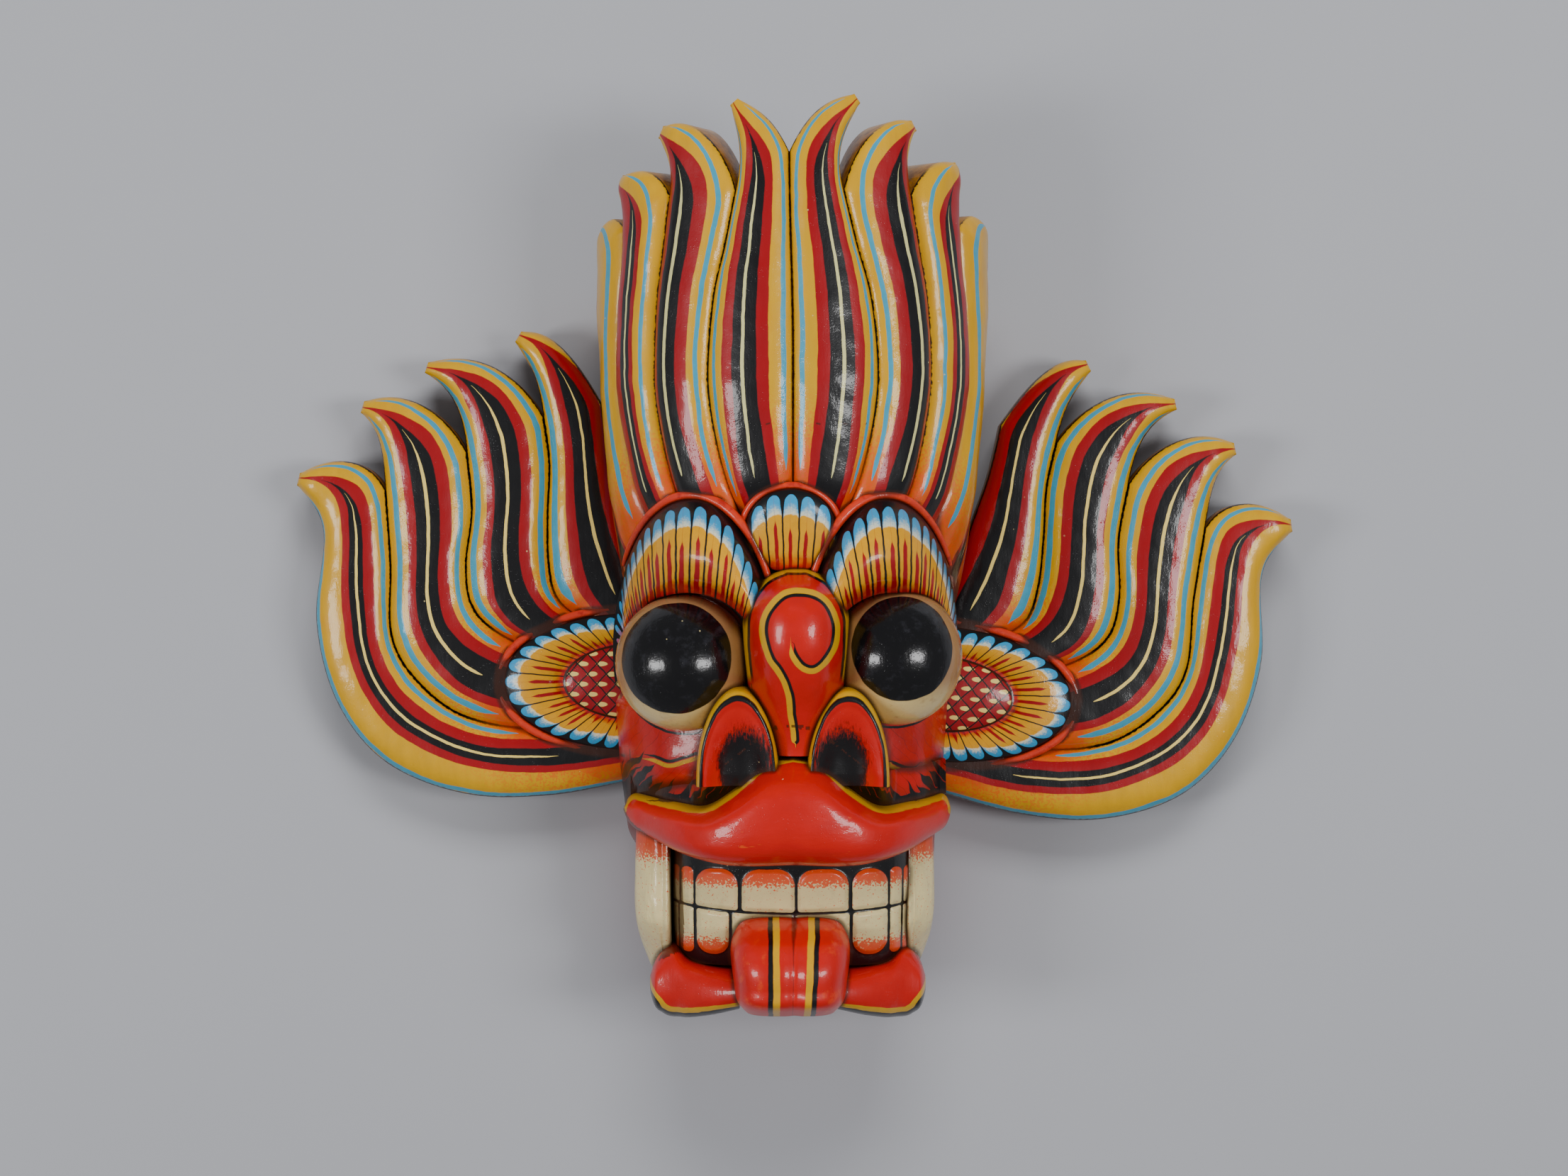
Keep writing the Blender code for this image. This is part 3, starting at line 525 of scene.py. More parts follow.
def makeStudio():
    lens = bpy.data.cameras.new("photoCamera")
    lens.sensor_width = 36.0
    lens.lens = 36.0 / studio["viewWidth"]
    camera = bpy.data.objects.new("photoCamera", lens)
    camera.location = studio["camera"]
    bpy.context.scene.collection.objects.link(camera)
    bpy.context.scene.camera = camera
    world = bpy.data.worlds.new("softRoom")
    world.use_nodes = True
    world.node_tree.nodes["Background"].inputs["Color"].default_value = studio["room"]
    world.node_tree.nodes["Background"].inputs["Strength"].default_value = studio["roomLight"]
    bpy.context.scene.world = world
    for name, place, wide, tall, power, inGloss in studio["lamps"]:
        lamp = bpy.data.lights.new(name, "AREA")
        lamp.shape, lamp.size, lamp.size_y, lamp.energy = "RECTANGLE", wide, tall, power
        holder = bpy.data.objects.new(name, lamp)
        holder.location = place
        holder.rotation_euler = (Vector((0, 0, 0.05)) - Vector(place)).to_track_quat("-Z", "Y").to_euler()
        holder.visible_glossy = inGloss
        bpy.context.scene.collection.objects.link(holder)
    mesh = bpy.data.meshes.new("floor")
    r = studio["floorReach"]
    mesh.from_pydata([(-r, -r, 0), (r, -r, 0), (r, r, 0), (-r, r, 0)], [], [(0, 1, 2, 3)])
    floor = bpy.data.objects.new("floor", mesh)
    floor.location.z = -0.0005
    bpy.context.scene.collection.objects.link(floor)
    b = Brushwork("paleFloor")
    b.put(b.shader.inputs["Base Color"], b.shade(studio["floor"], 0.03, 60))
    b.shader.inputs["Roughness"].default_value = 0.8
    mesh.materials.append(b.material)


makeStudio()
print("stage: studio ready")


# Brows and fan share their ovals with what is painted round them
brow = dict(
    y=-33.0, innerHigh=20.5, high=53.0, sweep=14, rise=21.0,
    left=dict(side=-1, x=35.8, wide=29.6, innerX=36.8, innerWide=24.2),
    right=dict(side=1, x=32.4, wide=27.8, innerX=34.2, innerWide=21.8),
    petalWidths=((0, 4.8), (0.28, 4.9), (0.5, 5.8), (0.74, 7.4), (1.0, 7.6)),  # from the ear to the nose
)
fan = dict(x=-0.7, y=8.9, wide=16.2, high=14.8, rim=3.2, rise=4.5, petalWide=4.7, flare=0.012)


def rootWay(x, y):  # how far a point of the crown is above the brows and the fan
    gaps = [pastOval(x, y, (own["side"] * own["x"], brow["y"]), own["wide"] + 3, brow["high"] + 3)
            for own in (brow["left"], brow["right"])]
    gaps.append(pastOval(x, y, (fan["x"], fan["y"]), fan["wide"] + 3, fan["high"] + 3))
    return np.min(gaps, axis=0)


def stripes(red, black, cream, blueOut, blueIn):  # each from and to, as shares of the flame's width
    return dict(red=red, black=black, cream=cream, blueOut=blueOut, blueIn=blueIn)


# Crown of ten flames, drawn unrolled: arc distance from the middle line and height
crown = dict(
    radius=70.5, wall=14.6, ridge=4.2, drift=-1.3, tuck=3.0, columns=27, rows=64, tipRows=26,
    grooves=(
        ((0, 14), (0, 40), (0, 68), (0, 95), (0, 117), (0, 139)),
        ((18, 8), (26.5, 34), (30.2, 60), (28.0, 88), (22.8, 108), (18.6, 126)),
        ((40, 6), (49.0, 34), (52.8, 60), (51.6, 87), (48.0, 107), (44.5, 126)),
        ((60, 2), (70.0, 34), (75.0, 60), (74.0, 84), (71.0, 102), (69.5, 117)),
        ((88, -20), (103, 14), (111, 44), (112.5, 66), (110, 84), (106.5, 99)),
        ((135.6, -30), (135.6, 0), (135.6, 28), (135.6, 52), (135.6, 68), (135.6, 80)),
    ),
    # each tip: arc, height, the way it points and how wide it opens, in degrees
    leftTips=(
        (20.0, 158.0, 55, 26), (49.2, 148.5, 18, 46), (71.4, 135, 38, 44), (101, 109, 5, 52),
        (131, 96, 70, 22),
    ),
    rightTips=(
        (25.0, 158.9, 36, 28), (47.2, 150.5, 20, 34), (69.0, 139, 38, 42), (100, 116, 18, 48),
        (131, 97, 70, 22),
    ),
    leans=(0.45, 0.45, 0.7, 1.2, 1.8),
    stripes=(  # from the outer edge inward
        stripes((0.20, 0.735), (0.32, 0.60), (0.425, 0.465), (0.075, 0.12), (0.87, 0.925)),
        stripes((0.0, 0.70), (0.15, 0.505), (0.285, 0.34), (0, 0), (0.805, 0.87)),
        stripes((0.0, 0.645), (0.34, 0.555), (0.435, 0.475), (0, 0), (0.765, 0.83)),
        stripes((0.02, 0.40), (0.09, 0.30), (0.16, 0.20), (0, 0), (0.79, 0.86)),
        stripes((0.10, 0.60), (0.2, 0.5), (0.3, 0.36), (0, 0), (0.75, 0.82)),
    ),
)
flame = dict(blunt=0.8, curl=0.93, easing=9)


def flameEdges(grooves, tips, leans, rows, tipRows):
    low, high = np.linspace(0, 1, rows), np.linspace(0, flame["curl"], tipRows + 1)[1:]
    lines = [spline(groove, low) for groove in grooves]
    edges = []
    for i, (u, v, hook, spread) in enumerate(tips):
        inner, outer = lines[i], lines[i + 1]
        across = np.array([math.sin(math.radians(hook)), -math.cos(math.radians(hook))]) * flame["blunt"]
        leaveInner = (inner[-1] - inner[-2]) / np.linalg.norm(inner[-1] - inner[-2]) + np.array([leans[i], 0])
        leaveOuter = (outer[-1] - outer[-2]) / np.linalg.norm(outer[-1] - outer[-2])
        leaveInner = leaveInner / np.linalg.norm(leaveInner)
        lead = bezier(outer[-1], leaveOuter, (u, v) + across, heading(hook + spread), high)
        back = bezier(inner[-1], leaveInner, (u, v) - across, heading(hook - spread), high)
        edges.append((np.vstack([inner, back]), np.vstack([outer, lead])))
    return edges


def flameGrid(inner, outer, columns, ridge):
    across = -np.cos(np.linspace(0, math.pi, columns)) * 0.35 + np.linspace(-1, 1, columns) * 0.65
    mix = (across[None, :, None] + 1) / 2
    spots = inner[:, None] * (1 - mix) + outer[:, None] * mix
    wide = np.linalg.norm(outer - inner, axis=1)
    relief = (ridge * smooth(wide, -4, 16))[:, None] * (1 - np.abs(across[None, :]) ** 3.2) ** 0.75
    relief[-1] = relief[-2].max() * 0.6
    return spots, relief, mix[..., 0], wide


def eased(line):  # an edge with its sharp turns smoothed out
    reach = flame["easing"]
    early, late = 2 * line[0] - line[reach:0:-1], 2 * line[-1] - line[-2:-reach - 2:-1]
    full = np.vstack([early, line, late])
    weight = np.hanning(2 * reach + 3)[1:-1]
    return np.stack([np.convolve(full[:, k], weight / weight.sum(), "valid") for k in (0, 1)], -1)


def stripeMarks(shares, mix, wide, spots, root):
    trueAcross, trueWide = (1 - mix) * wide[:, None], wide[:, None]
    inner, outer = eased(spots[:, 0]), eased(spots[:, -1])
    wide = np.maximum(np.linalg.norm(inner - outer, axis=1), 0.5)[:, None]
    mix = 1 - np.einsum("rck,rk->rc", spots - outer[:, None], inner - outer) / wide**2
    way = gone(spots[:, spots.shape[1] // 2])
    tip = (way[-1] - way)[:, None] + 0 * mix
    marks = dict(
        across=(1 - mix) * wide, edgeWay=np.minimum(trueAcross, trueWide - trueAcross),
        rootWay=root, tipWay=tip,
    )
    blue = smooth(tip, 2, 9) * smooth(root, 2, 9)
    narrow = dict(
        red=0.16 + 0.84 * smooth(tip, 0, 26), black=smooth(tip, 7, 34),
        cream=smooth(tip, 15, 40) * smooth(root, 3, 8), blueOut=blue, blueIn=blue,
    )
    grow = dict(red=0.14, black=0.34, cream=-0.2, blueOut=0, blueIn=0)  # near the root
    for key, (start, end) in shares.items():
        half = (end - start) / 2 * wide * narrow[key] * (1 + grow[key] * smooth(root, 30, 4))
        marks[key + "Mid"] = (start + end) / 2 * wide + 0 * mix
        marks[key + "Half"] = np.where(half > 0.02, half, -1.0)
    return marks


def flameSlab(i, count, side, rows, top, bottom, marks):  # outer walls only, and those past the notches
    near, far = ("left", "right") if side > 0 else ("right", "left")
    walls = {near: 0 if i == 0 else rows - 1, far: 0 if i == count - 1 else rows - 1}
    return slab(*turned(side < 0, top, bottom, marks), walls)


def makeCrown(side, tips):
    solids = []
    edges = flameEdges(crown["grooves"], tips, crown["leans"], crown["rows"], crown["tipRows"])
    for i, (inner, outer) in enumerate(edges):
        spots, relief, mix, wide = flameGrid(inner, outer, crown["columns"], crown["ridge"])
        y = spots[..., 1]
        arc = spots[..., 0] * side + crown["drift"] * smooth(y, 70, 140)
        relief = relief * smooth(y, -25, 30)
        relief = relief * (1 - smooth(np.abs(arc), 74, 106) * (1 - 0.4 * smooth(y, 66, 90)))
        tuck = crown["tuck"] * (1 - smooth(np.arange(len(y)), 0, 8))[:, None]
        fine = handCut(arc, y) * smooth(mix * (1 - mix), 0.0, 0.12)
        rough = 0.5 * np.sin(y / 8 + np.sin(arc / 9)) * np.cos(arc / 11)
        top = around(arc, y, relief - tuck + fine)
        bottom = around(arc * 0.98, y, -crown["wall"] + rough)
        top[..., 2], bottom[..., 2] = np.maximum(top[..., 2], 0.05), np.maximum(bottom[..., 2], 0.05)
        marks = stripeMarks(crown["stripes"][i], mix, wide, spots, rootWay(top[..., 0], y))
        solids.append(flameSlab(i, len(edges), side, crown["rows"], top, bottom, marks))
    makePiece(sided("crown", side), solids, [crownPaint, backWood], sharp=50)


crownPaint = flamePaint("crownEnamel", paint["pale"], 0.34, 25)
makeCrown(-1, crown["leftTips"])
makeCrown(1, crown["rightTips"])
print("stage: crown carved and striped")


# Ear wings, drawn flat: outward from the head and up from the middle of the ear flower
wing = dict(
    left=dict(side=-1, x=63.5, y=-44.5, tilt=0.0, scale=1.012),
    right=dict(side=1, x=61.0, y=-49.6, tilt=-5.2, scale=0.998),
    back=8.0, groove=20.0, ridge=6.0, columns=25, rows=84, tipRows=30, lean=0.45,
    grooves=(  # from the innermost flame outward
        ((-9, 12.0), (-8, 28.0), (-3.5, 48.0), (1.5, 68.0), (4.5, 80.0), (6.3, 91.0), (7.5, 101.0)),
        ((-9, 6.0), (12, 20.0), (23.6, 29.0), (27, 42.0), (27.4, 60.0), (26.8, 79.0), (29.0, 96.5)),
        ((-9, -3.0), (28, 9.0), (46, 17.0), (55.5, 27.0), (57.6, 42.0), (55.4, 62.0), (57.3, 83.6)),
        ((-9, -14.0), (30, -18.5), (58, -14.0), (76, -0.5), (85, 16.0), (85.4, 42.0), (87.3, 69.7)),
        ((-9, -36.5), (26, -43.0), (58, -42.5), (87, -31.0), (105, -9.0), (112.7, 20.0), (110.2, 47.0)),
    ),
    tips=((40.2, 126.5, 22, 36), (74.7, 114.5, 3, 24), (97.8, 100.0, 5, 32), (120.7, 73.4, 8, 45)),
    stripes=(
        stripes((0.30, 1.0), (0.44, 0.80), (0.61, 0.65), (0.07, 0.17), (0, 0)),
        stripes((0.22, 0.79), (0.32, 0.66), (0.47, 0.51), (0.06, 0.14), (0.885, 0.95)),
        stripes((0.25, 0.78), (0.355, 0.64), (0.48, 0.52), (0.10, 0.17), (0.85, 0.91)),
        stripes((0.37, 0.80), (0.475, 0.665), (0.56, 0.595), (0.0, 0.06), (0.885, 0.94)),
    ),
)
ear = dict(
    length=44.0, halfHeight=25.8, drop=1.0, heart=0.54, rise=6.5, heartRise=3.0, ringRise=3.2,
    dip=1.2, sink=2.0, tuck=6.0, petals=17, rings=64, turns=180,
    grid=dict(across=7.0, up=3.7, ovalWide=2.1, ovalHigh=0.85, line=0.26),  # the pattern of its heart
)


def wingPlace(place, spots, z):
    turn = math.radians(place["tilt"])
    u = (spots[..., 0] * math.cos(turn) - spots[..., 1] * math.sin(turn)) * place["scale"]
    v = (spots[..., 0] * math.sin(turn) + spots[..., 1] * math.cos(turn)) * place["scale"]
    return spots3(place["side"] * (place["x"] + u), place["y"] + v, z)


def makeWing(key, place):
    solids = []
    leans = [wing["lean"]] * len(wing["tips"])
    edges = flameEdges(wing["grooves"], wing["tips"], leans, wing["rows"], wing["tipRows"])
    reach = ear["length"] + ear["tuck"] + 2.5, ear["halfHeight"] + 2.5
    for i, (inner, outer) in enumerate(edges):
        spots, relief, mix, wide = flameGrid(inner, outer, wing["columns"], wing["ridge"])
        u, v = spots[..., 0], spots[..., 1]
        root = pastOval(u, v, (-ear["tuck"], -ear["drop"]), *reach)
        fine = handCut(u, v) * smooth(mix * (1 - mix), 0.0, 0.12)
        top = wingPlace(place, spots, wing["groove"] + relief + fine)
        bottom = wingPlace(place, spots, wing["back"] + 0.25 * (1 + np.sin(v / 7) * np.sin(u / 5)))
        marks = stripeMarks(wing["stripes"][i], mix, wide, spots, root)
        solids.append(flameSlab(i, len(edges), place["side"], wing["rows"], top, bottom, marks))
    makePiece(key + "WingFlames", solids, [wingPaint, backWood], key + "_wing", 50)


def makeFlower(key, place):
    wide, high, heart = ear["length"] + ear["tuck"], ear["halfHeight"], ear["heart"]
    angle, length = evenTurns(wide, high, -math.pi / 2, math.pi / 2, ear["turns"])
    angle = angle[None, :]
    share = np.linspace(0, 1, ear["rings"])[:, None]
    u = wide * share * np.cos(angle) - ear["tuck"]
    v = high * share * np.sin(angle) - ear["drop"]
    heartRise = ear["heartRise"] * np.sqrt(np.clip(1 - (share / heart) ** 2, 0, 1))
    ringRise = ear["ringRise"] * np.sin(np.clip((share - heart) / (1 - heart), 0, 1) * math.pi) ** 0.7
    ringRise = ringRise - ear["dip"] * smooth(share, heart, heart + 0.04)
    z = wing["groove"] + ear["rise"] + np.where(share < heart, heartRise, ringRise) + 0 * u
    z = np.where(share > 0.97, z - 2.0 * ((share - 0.97) / 0.03) ** 2, z)
    z[-1] = wing["groove"] - ear["sink"]
    radius = np.hypot(wide * np.cos(angle), high * np.sin(angle))
    marks = dict(
        ringWay=radius * (1 - share), innerWay=radius * (share - heart), groundWay=1.0,
        petal=np.linspace(0, ear["petals"], ear["turns"])[None, :],
        petalWide=length / ear["petals"] * (0.25 + 0.75 * share), heartX=u, heartY=v,
    )
    spots = np.stack([u, v], -1)
    top = wingPlace(place, spots, z + handCut(u, v, 0.6))
    bottom = wingPlace(place, spots, wing["back"] + 1.0)
    solid = slab(*turned(place["side"] < 0, top, bottom, marks), {"start": None})
    makePiece(key + "EarFlower", [solid], [flowerPaint], key + "_wing")


def flowerFinish():
    b = Brushwork("earFlowerEnamel")
    colour = petalLayers(b, 0.55, 4.6, 4.6, 0.7, 3.6)
    heartEdge = b.times(b.mark("innerWay"), -1)
    u, v, grid = b.mark("heartX"), b.mark("heartY"), ear["grid"]
    heart = b.shade(paint["red"], 0.3, 5)
    # rows of long cream ovals between crossing black lines
    row = b.over(v, grid["up"])
    oddRow = b.calc("FLOORED_MODULO", b.calc("FLOOR", row), 2.0)
    column = b.add(b.over(u, grid["across"]), b.times(oddRow, 0.5))
    ovalX = b.over(b.waver(b.times(b.sub(b.part(column), 0.5), grid["across"]), 3, 0.3), grid["ovalWide"])
    ovalY = b.over(b.waver(b.times(b.sub(b.part(row), 0.5), grid["up"]), 3, 0.2), grid["ovalHigh"])
    oval = b.sub(1, b.calc("SQRT", b.add(b.times(ovalX, ovalX), b.times(ovalY, ovalY))))
    heart = b.blend(b.inside(oval, 0.12), heart, b.shade(paint["cream"], 0.25, 2))
    for lean, shift in ((-1, 0.0), (1, 0.5)):
        slant = b.add(b.times(u, 1 / grid["across"]), b.times(v, lean / (2 * grid["up"])))
        cross = b.times(b.sub(b.part(b.add(slant, shift)), 0.5), grid["across"] * 0.73)
        heart = b.blend(b.within(b.size(b.waver(cross, 5, 0.35)), grid["line"], 0.1), heart, paint["black"])
    colour = b.blend(b.inside(b.sub(heartEdge, 0.4), 0.15), colour, heart)
    colour = b.blend(b.band(heartEdge, 0.2, 0.5, 0.15), colour, paint["dirtAndShade"])
    return b.enamel(b.agedAndShaded(colour, 0.4))


wingPaint = flamePaint("wingEnamel", paint["cream"], 0.5, 15)
flowerPaint = flowerFinish()
for key in ("left", "right"):
    makeWing(key, wing[key])
    makeFlower(key, wing[key])
print("stage: wings carved and striped")


eye = dict(
    radius=24.0, lift=6.0, lidLine=25.2,
    left=dict(side=-1, x=38.3, y=-37.0, wide=1.0, cap=53.5, outward=8.0, upward=7.8),
    right=dict(side=1, x=36.6, y=-34.8, wide=0.95, cap=50.0, outward=4.0, upward=11.5),
)
lip = dict(
    middle=-69.0, valley=-86.5, valleyAt=29.0, proud=36.0, halfWidth=58.5, endShift=-2.0, endRound=4.5,
    bottom=((0, -106.3), (25, -106.2), (40, -102.8), (49, -99.2), (56, -96.4), (58.5, -95.6)),
)
face = dict(
    cheekFrom=(-40, -54), cheekTo=(-98, -116), cheekWiden=3.7, cheekShift=-4.0,
    leftWhisker=((-34.0, -69.8), (-39, -71.6), (-44, -72.9), (-49, -71.4), (-54, -71.0)),
    rightWhisker=((35.5, -73.4), (38, -74.6), (41, -75.6), (44, -75.4), (46, -73.8)),
)
jawShift = -1.7  # tusks, lower lip and jaw sit a little to one side


# Face block: a hollow U-shaped shell with a flat back rim
def makeBlock():
    shell, low = headShape, headShape["sideHeight"]
    rows = np.concatenate([np.linspace(shell["top"], -149, 150), [-150.4, -151.3, -151.8, -152]])
    angle = np.linspace(-math.pi / 2, math.pi / 2, 130)
    power = 2 / shell["power"]
    steps = np.array([0.33, 0.66, 1.0])  # down the straight side walls
    outer, inner = [], []
    for y in rows:
        chamfer = 2.4 * max(0, (-149 - y) / 3) ** 2
        cheek = smooth(y, *face["cheekFrom"]) * (1 - smooth(y, *face["cheekTo"]))
        innerY = max(y, shell["bottom"] + shell["jawWall"])
        for grid, inset, at in ((outer, shell["sink"] + chamfer, y), (inner, shell["wall"], innerY)):
            width, depth = sectionSize(at)
            half, top = width - inset + face["cheekWiden"] * cheek, depth - inset
            x = half * np.sign(np.sin(angle)) * np.abs(np.sin(angle)) ** power
            z = low + (top - low) * np.cos(angle) ** power
            foot, footZ = half - low * shell["sideLean"] * steps, low * (1 - steps)
            x = np.concatenate([-foot[::-1], x, foot])
            z = np.concatenate([footZ[::-1], z, footZ])
            grid.append(spots3(x + face["cheekShift"] * cheek, at, z))
    for share in (0.8, 0.55, 0.3, 0.1, 0.0):  # the underside of the chin
        for grid in (outer, inner):
            grid.append(grid[len(rows) - 1] * (share, 1, share))
    outer, inner = np.array(outer), np.array(inner)
    x, y = outer[..., 0], outer[..., 1]
    onFront = smooth(outer[..., 2], 30, 45) * smooth(y, -151, -147)
    outer[..., 2] += onFront * (cheekRelief(x, y) + handCut(x, y, 1.2))
    gouge = 0.7 * np.abs(np.sin(inner[..., 1] / 7 + np.sin(inner[..., 0] / 8))) * smooth(inner[..., 2], 2, 14)
    inner[..., 2] -= gouge * smooth(inner[..., 2], 40, 60)
    marks = {key: value[::-1] for key, value in dict(backWay=outer[..., 2], **faceMarks(x, y)).items()}
    makePiece("faceBlock", [slab(outer[::-1], inner[::-1], marks)], [facePaint, backWood], sharp=45)


def lipTop(x):
    places = (0, 0), (9, 0.14), (20, 0.66), (lip["valleyAt"], 1), (42, 1), (lip["halfWidth"], 0.86)
    wave = ease(np.abs(x), *places)
    return lip["middle"] + (lip["valley"] - lip["middle"]) * wave


def strokeMarks(x, y):  # black flame strokes that rise from the upper lip
    rise, side = y - lipTop(x), np.abs(x)
    high = 11.5 - 5.0 * smooth(side, 33, 40) + 8.5 * smooth(side, 44, 54)
    slanted = x + np.sign(x) * 0.8 * rise
    return dict(lipRise=rise, strokeHigh=high, strokeSide=slanted, lipBand=0.9 + 1.7 * smooth(side, 16, 30))


def lipStrokes(b, colour):
    rise, high = b.mark("lipRise"), b.mark("strokeHigh")
    comb = b.add(b.times(b.mark("strokeSide"), 1 / 3.6), b.times(b.noise(8, 1), 1.6))
    reach = b.sub(b.add(high, b.times(b.sub(b.chance(comb), 0.55), 7)), rise)
    stroke = b.sub(b.times(b.soft(reach, -0.3, 7), 0.46), b.size(b.sub(b.part(comb), 0.5)))
    above = b.soft(rise, -6, -5)
    # darker brown below the tops of the strokes, just above the lip
    colour = b.blend(b.times(b.soft(b.sub(high, rise), -1, 5), b.times(above, 0.45)), colour, paint["dirtAndShade"])
    colour = b.blend(b.times(b.inside(stroke, 0.05), above), colour, paint["black"])
    foot = b.within(rise, b.waver(b.mark("lipBand"), 2.5, 0.7))
    return b.blend(b.times(foot, above), colour, paint["black"])


def cheekRelief(x, y):  # a soft cheek under each eye and a hollow beside the mouth
    side = np.abs(x)
    cheek = 2.6 * np.exp(-(((side - 47) / 11) ** 2) - ((y + 71) / 9) ** 2)
    fold = -1.8 * np.exp(-(((side - 45) / 13) ** 2) - ((y + 83) / 4) ** 2)
    return cheek + fold


def faceMarks(x, y):
    whisker, half = 0 * x, 0 * x
    for side, name in ((-1, "leftWhisker"), (1, "rightWhisker")):
        gap, along = besidePath(x, y, spline(face[name], np.linspace(0, 1, 30)))
        here = x * side > 0
        whisker = np.where(here, gap * side, whisker)
        half = np.where(here, 0.75 * smooth(along.max() - along, -1, 6), half)
    balls = [np.hypot((x - own["side"] * own["x"]) / own["wide"], y - own["y"])
             for own in (eye["left"], eye["right"])]
    eyeGap = np.minimum(*balls) - eye["lidLine"]
    return dict(whiskerGap=whisker, whiskerHalf=half, eyeGap=eyeGap, **strokeMarks(x, y))


def faceFinish():
    b = Brushwork("faceEnamel")
    colour = b.shade(paint["face"], 0.35, 8)
    colour = b.mottle(colour, paint["faceLight"], 14, 0.52, 0.75, 0.5)
    colour = b.mottle(colour, paint["faceDark"], 9, 0.5, 0.7, 0.35, detail=3, rough=0.5)
    # darker towards the back rim
    towardBack = b.soft(b.add(b.mark("backWay"), b.add(b.wobble(9, 5), b.wobble(2, 1.5))), 15, 0)
    colour = b.blend(b.times(towardBack, 0.85), colour, b.shade(paint["dirtAndShade"], 0.5, 3))
    gap, half = b.waver(b.mark("whiskerGap"), 4, 0.2), b.mark("whiskerHalf")
    colour = b.blend(b.band(gap, -0.9, half), colour, paint["yellow"])
    colour = b.blend(b.band(gap, 0.7, b.times(half, 0.75)), colour, paint["black"])
    lidGap = b.waver(b.sub(b.mark("eyeGap"), 0.2), 5, 0.25)
    colour = b.blend(b.within(b.size(lidGap), 0.45), colour, paint["black"])
    return b.enamel(b.agedAndShaded(lipStrokes(b, colour), 2.6))


facePaint = faceFinish()
makeBlock()
print("stage: face block carved")


def makeBrow(own):
    rings, turns = 46, 200
    sweep = math.radians(brow["sweep"])
    angle, length = evenTurns(own["wide"], brow["high"], -sweep, math.pi + sweep, turns)
    angle = angle[None, :]
    share = np.linspace(0, 1, rings)[:, None]
    middle = own["innerX"] * (1 - share) + own["x"] * share
    wide = own["innerWide"] * (1 - share) + own["wide"] * share
    high = brow["innerHigh"] * (1 - share) + brow["high"] * share
    x, y = middle + wide * np.cos(angle), brow["y"] + high * np.sin(angle)
    bulge = ease(share, (0, 0.62), (0.12, 0.86), (0.3, 1.0), (0.55, 0.9), (0.8, 0.62), (1, 0.16))
    ends = 0.62 + 0.38 * np.clip(np.sin(angle), 0, 1) ** 0.7
    z = np.maximum(front(x, y) + brow["rise"] * bulge * ends, 44)
    top = spots3(own["side"] * x, y, z + handCut(x, y, 0.7))
    bottom = spots3(own["side"] * x, y, np.clip(front(x, y) - 9, 34, 66))
    reach = np.maximum(np.hypot(x[-1] - x[0], y[-1] - y[0])[None, :], 5)
    way = np.linspace(0, 1, turns)  # from the ear to the nose
    petalWide = ease(way, *brow["petalWidths"])
    petal = np.concatenate([[0], np.cumsum(length / (turns - 1) / petalWide[1:])])
    ground = 0.8 + 1.1 * smooth(way, 0.2, 0.45) + 3.0 * smooth(way, 0.52, 0.72) + 16 * smooth(way, 0.82, 0.86)
    marks = dict(
        ringWay=reach * (1 - share), innerWay=reach * share, petal=petal[None, :], groundWay=ground[None, :],
        petalWide=petalWide[None, :] * (0.5 + 0.5 * share),
    )
    solid = slab(*turned(own["side"] > 0, top, bottom, marks))
    makePiece(sided("brow", own["side"]), [solid], [petalPaint], sharp=55)


def petalFinish():
    b = Brushwork("petalEnamel")
    return b.enamel(b.agedAndShaded(petalLayers(b, 0.6, 7.4, 7.0, 0.62, 6.0), 0.6))


def makeFan():
    angle = np.linspace(0, 2 * math.pi, 97)[None, :]
    share = np.linspace(0, 1, 40)[:, None] ** 0.8
    x, y = fan["x"] + fan["wide"] * share * np.cos(angle), fan["y"] + fan["high"] * share * np.sin(angle)
    edge = smooth(share, 0.97, 1.0)
    dome = fan["rise"] * np.sqrt(np.clip(1 - share**3, 0, 1))
    top = spots3(x, y, front(x, y) + fan["rim"] * (1 - edge) + dome - 1.5 * edge)
    bottom = spots3(x, y, front(x, y) - 9)
    spread = fan["petalWide"] * (1 + fan["flare"] * (y - (fan["y"] - fan["high"])))
    crest = fan["y"] + fan["high"] * np.sqrt(np.clip(1 - ((x - fan["x"]) / fan["wide"]) ** 2, 0, 1))
    marks = dict(
        ringWay=crest - y, innerWay=y - (fan["y"] - 13.5), petal=(x - fan["x"]) / spread + 2.5,
        petalWide=spread, groundWay=1.5,
    )
    solid = slab(top, bottom, marks, {"start": None, "left": None, "right": None})
    makePiece("foreheadFan", [solid], [petalPaint], sharp=55)


petalPaint = petalFinish()
makeBrow(brow["left"])
makeBrow(brow["right"])
makeFan()
print("stage: brows and fan done")


# Rims: raised red-orange edges above the brows and round the ear flowers
rim = dict(
    browHalf=1.7, fanHalf=1.3, earHalf=1.7, earRise=4.2,
    browFrom=34, browTo=166, fanFrom=8, fanTo=172, earFrom=-88, earTo=88,  # ends of each arc, in degrees
)


def tubeAlong(path, half, turns=14):
    path = np.asarray(path, float)
    way = np.gradient(path, axis=0)
    way /= np.linalg.norm(way, axis=1)[:, None]
    flat = np.cross(way, (0, 0, 1.0))
    flat /= np.linalg.norm(flat, axis=1)[:, None]
    up = np.cross(flat, way)
    angle = np.linspace(0, 2 * math.pi, turns, endpoint=False)[None, :, None]
    half = np.broadcast_to(half, len(path))[:, None, None]
    return path[:, None] + half * (flat[:, None] * np.cos(angle) + up[:, None] * np.sin(angle))


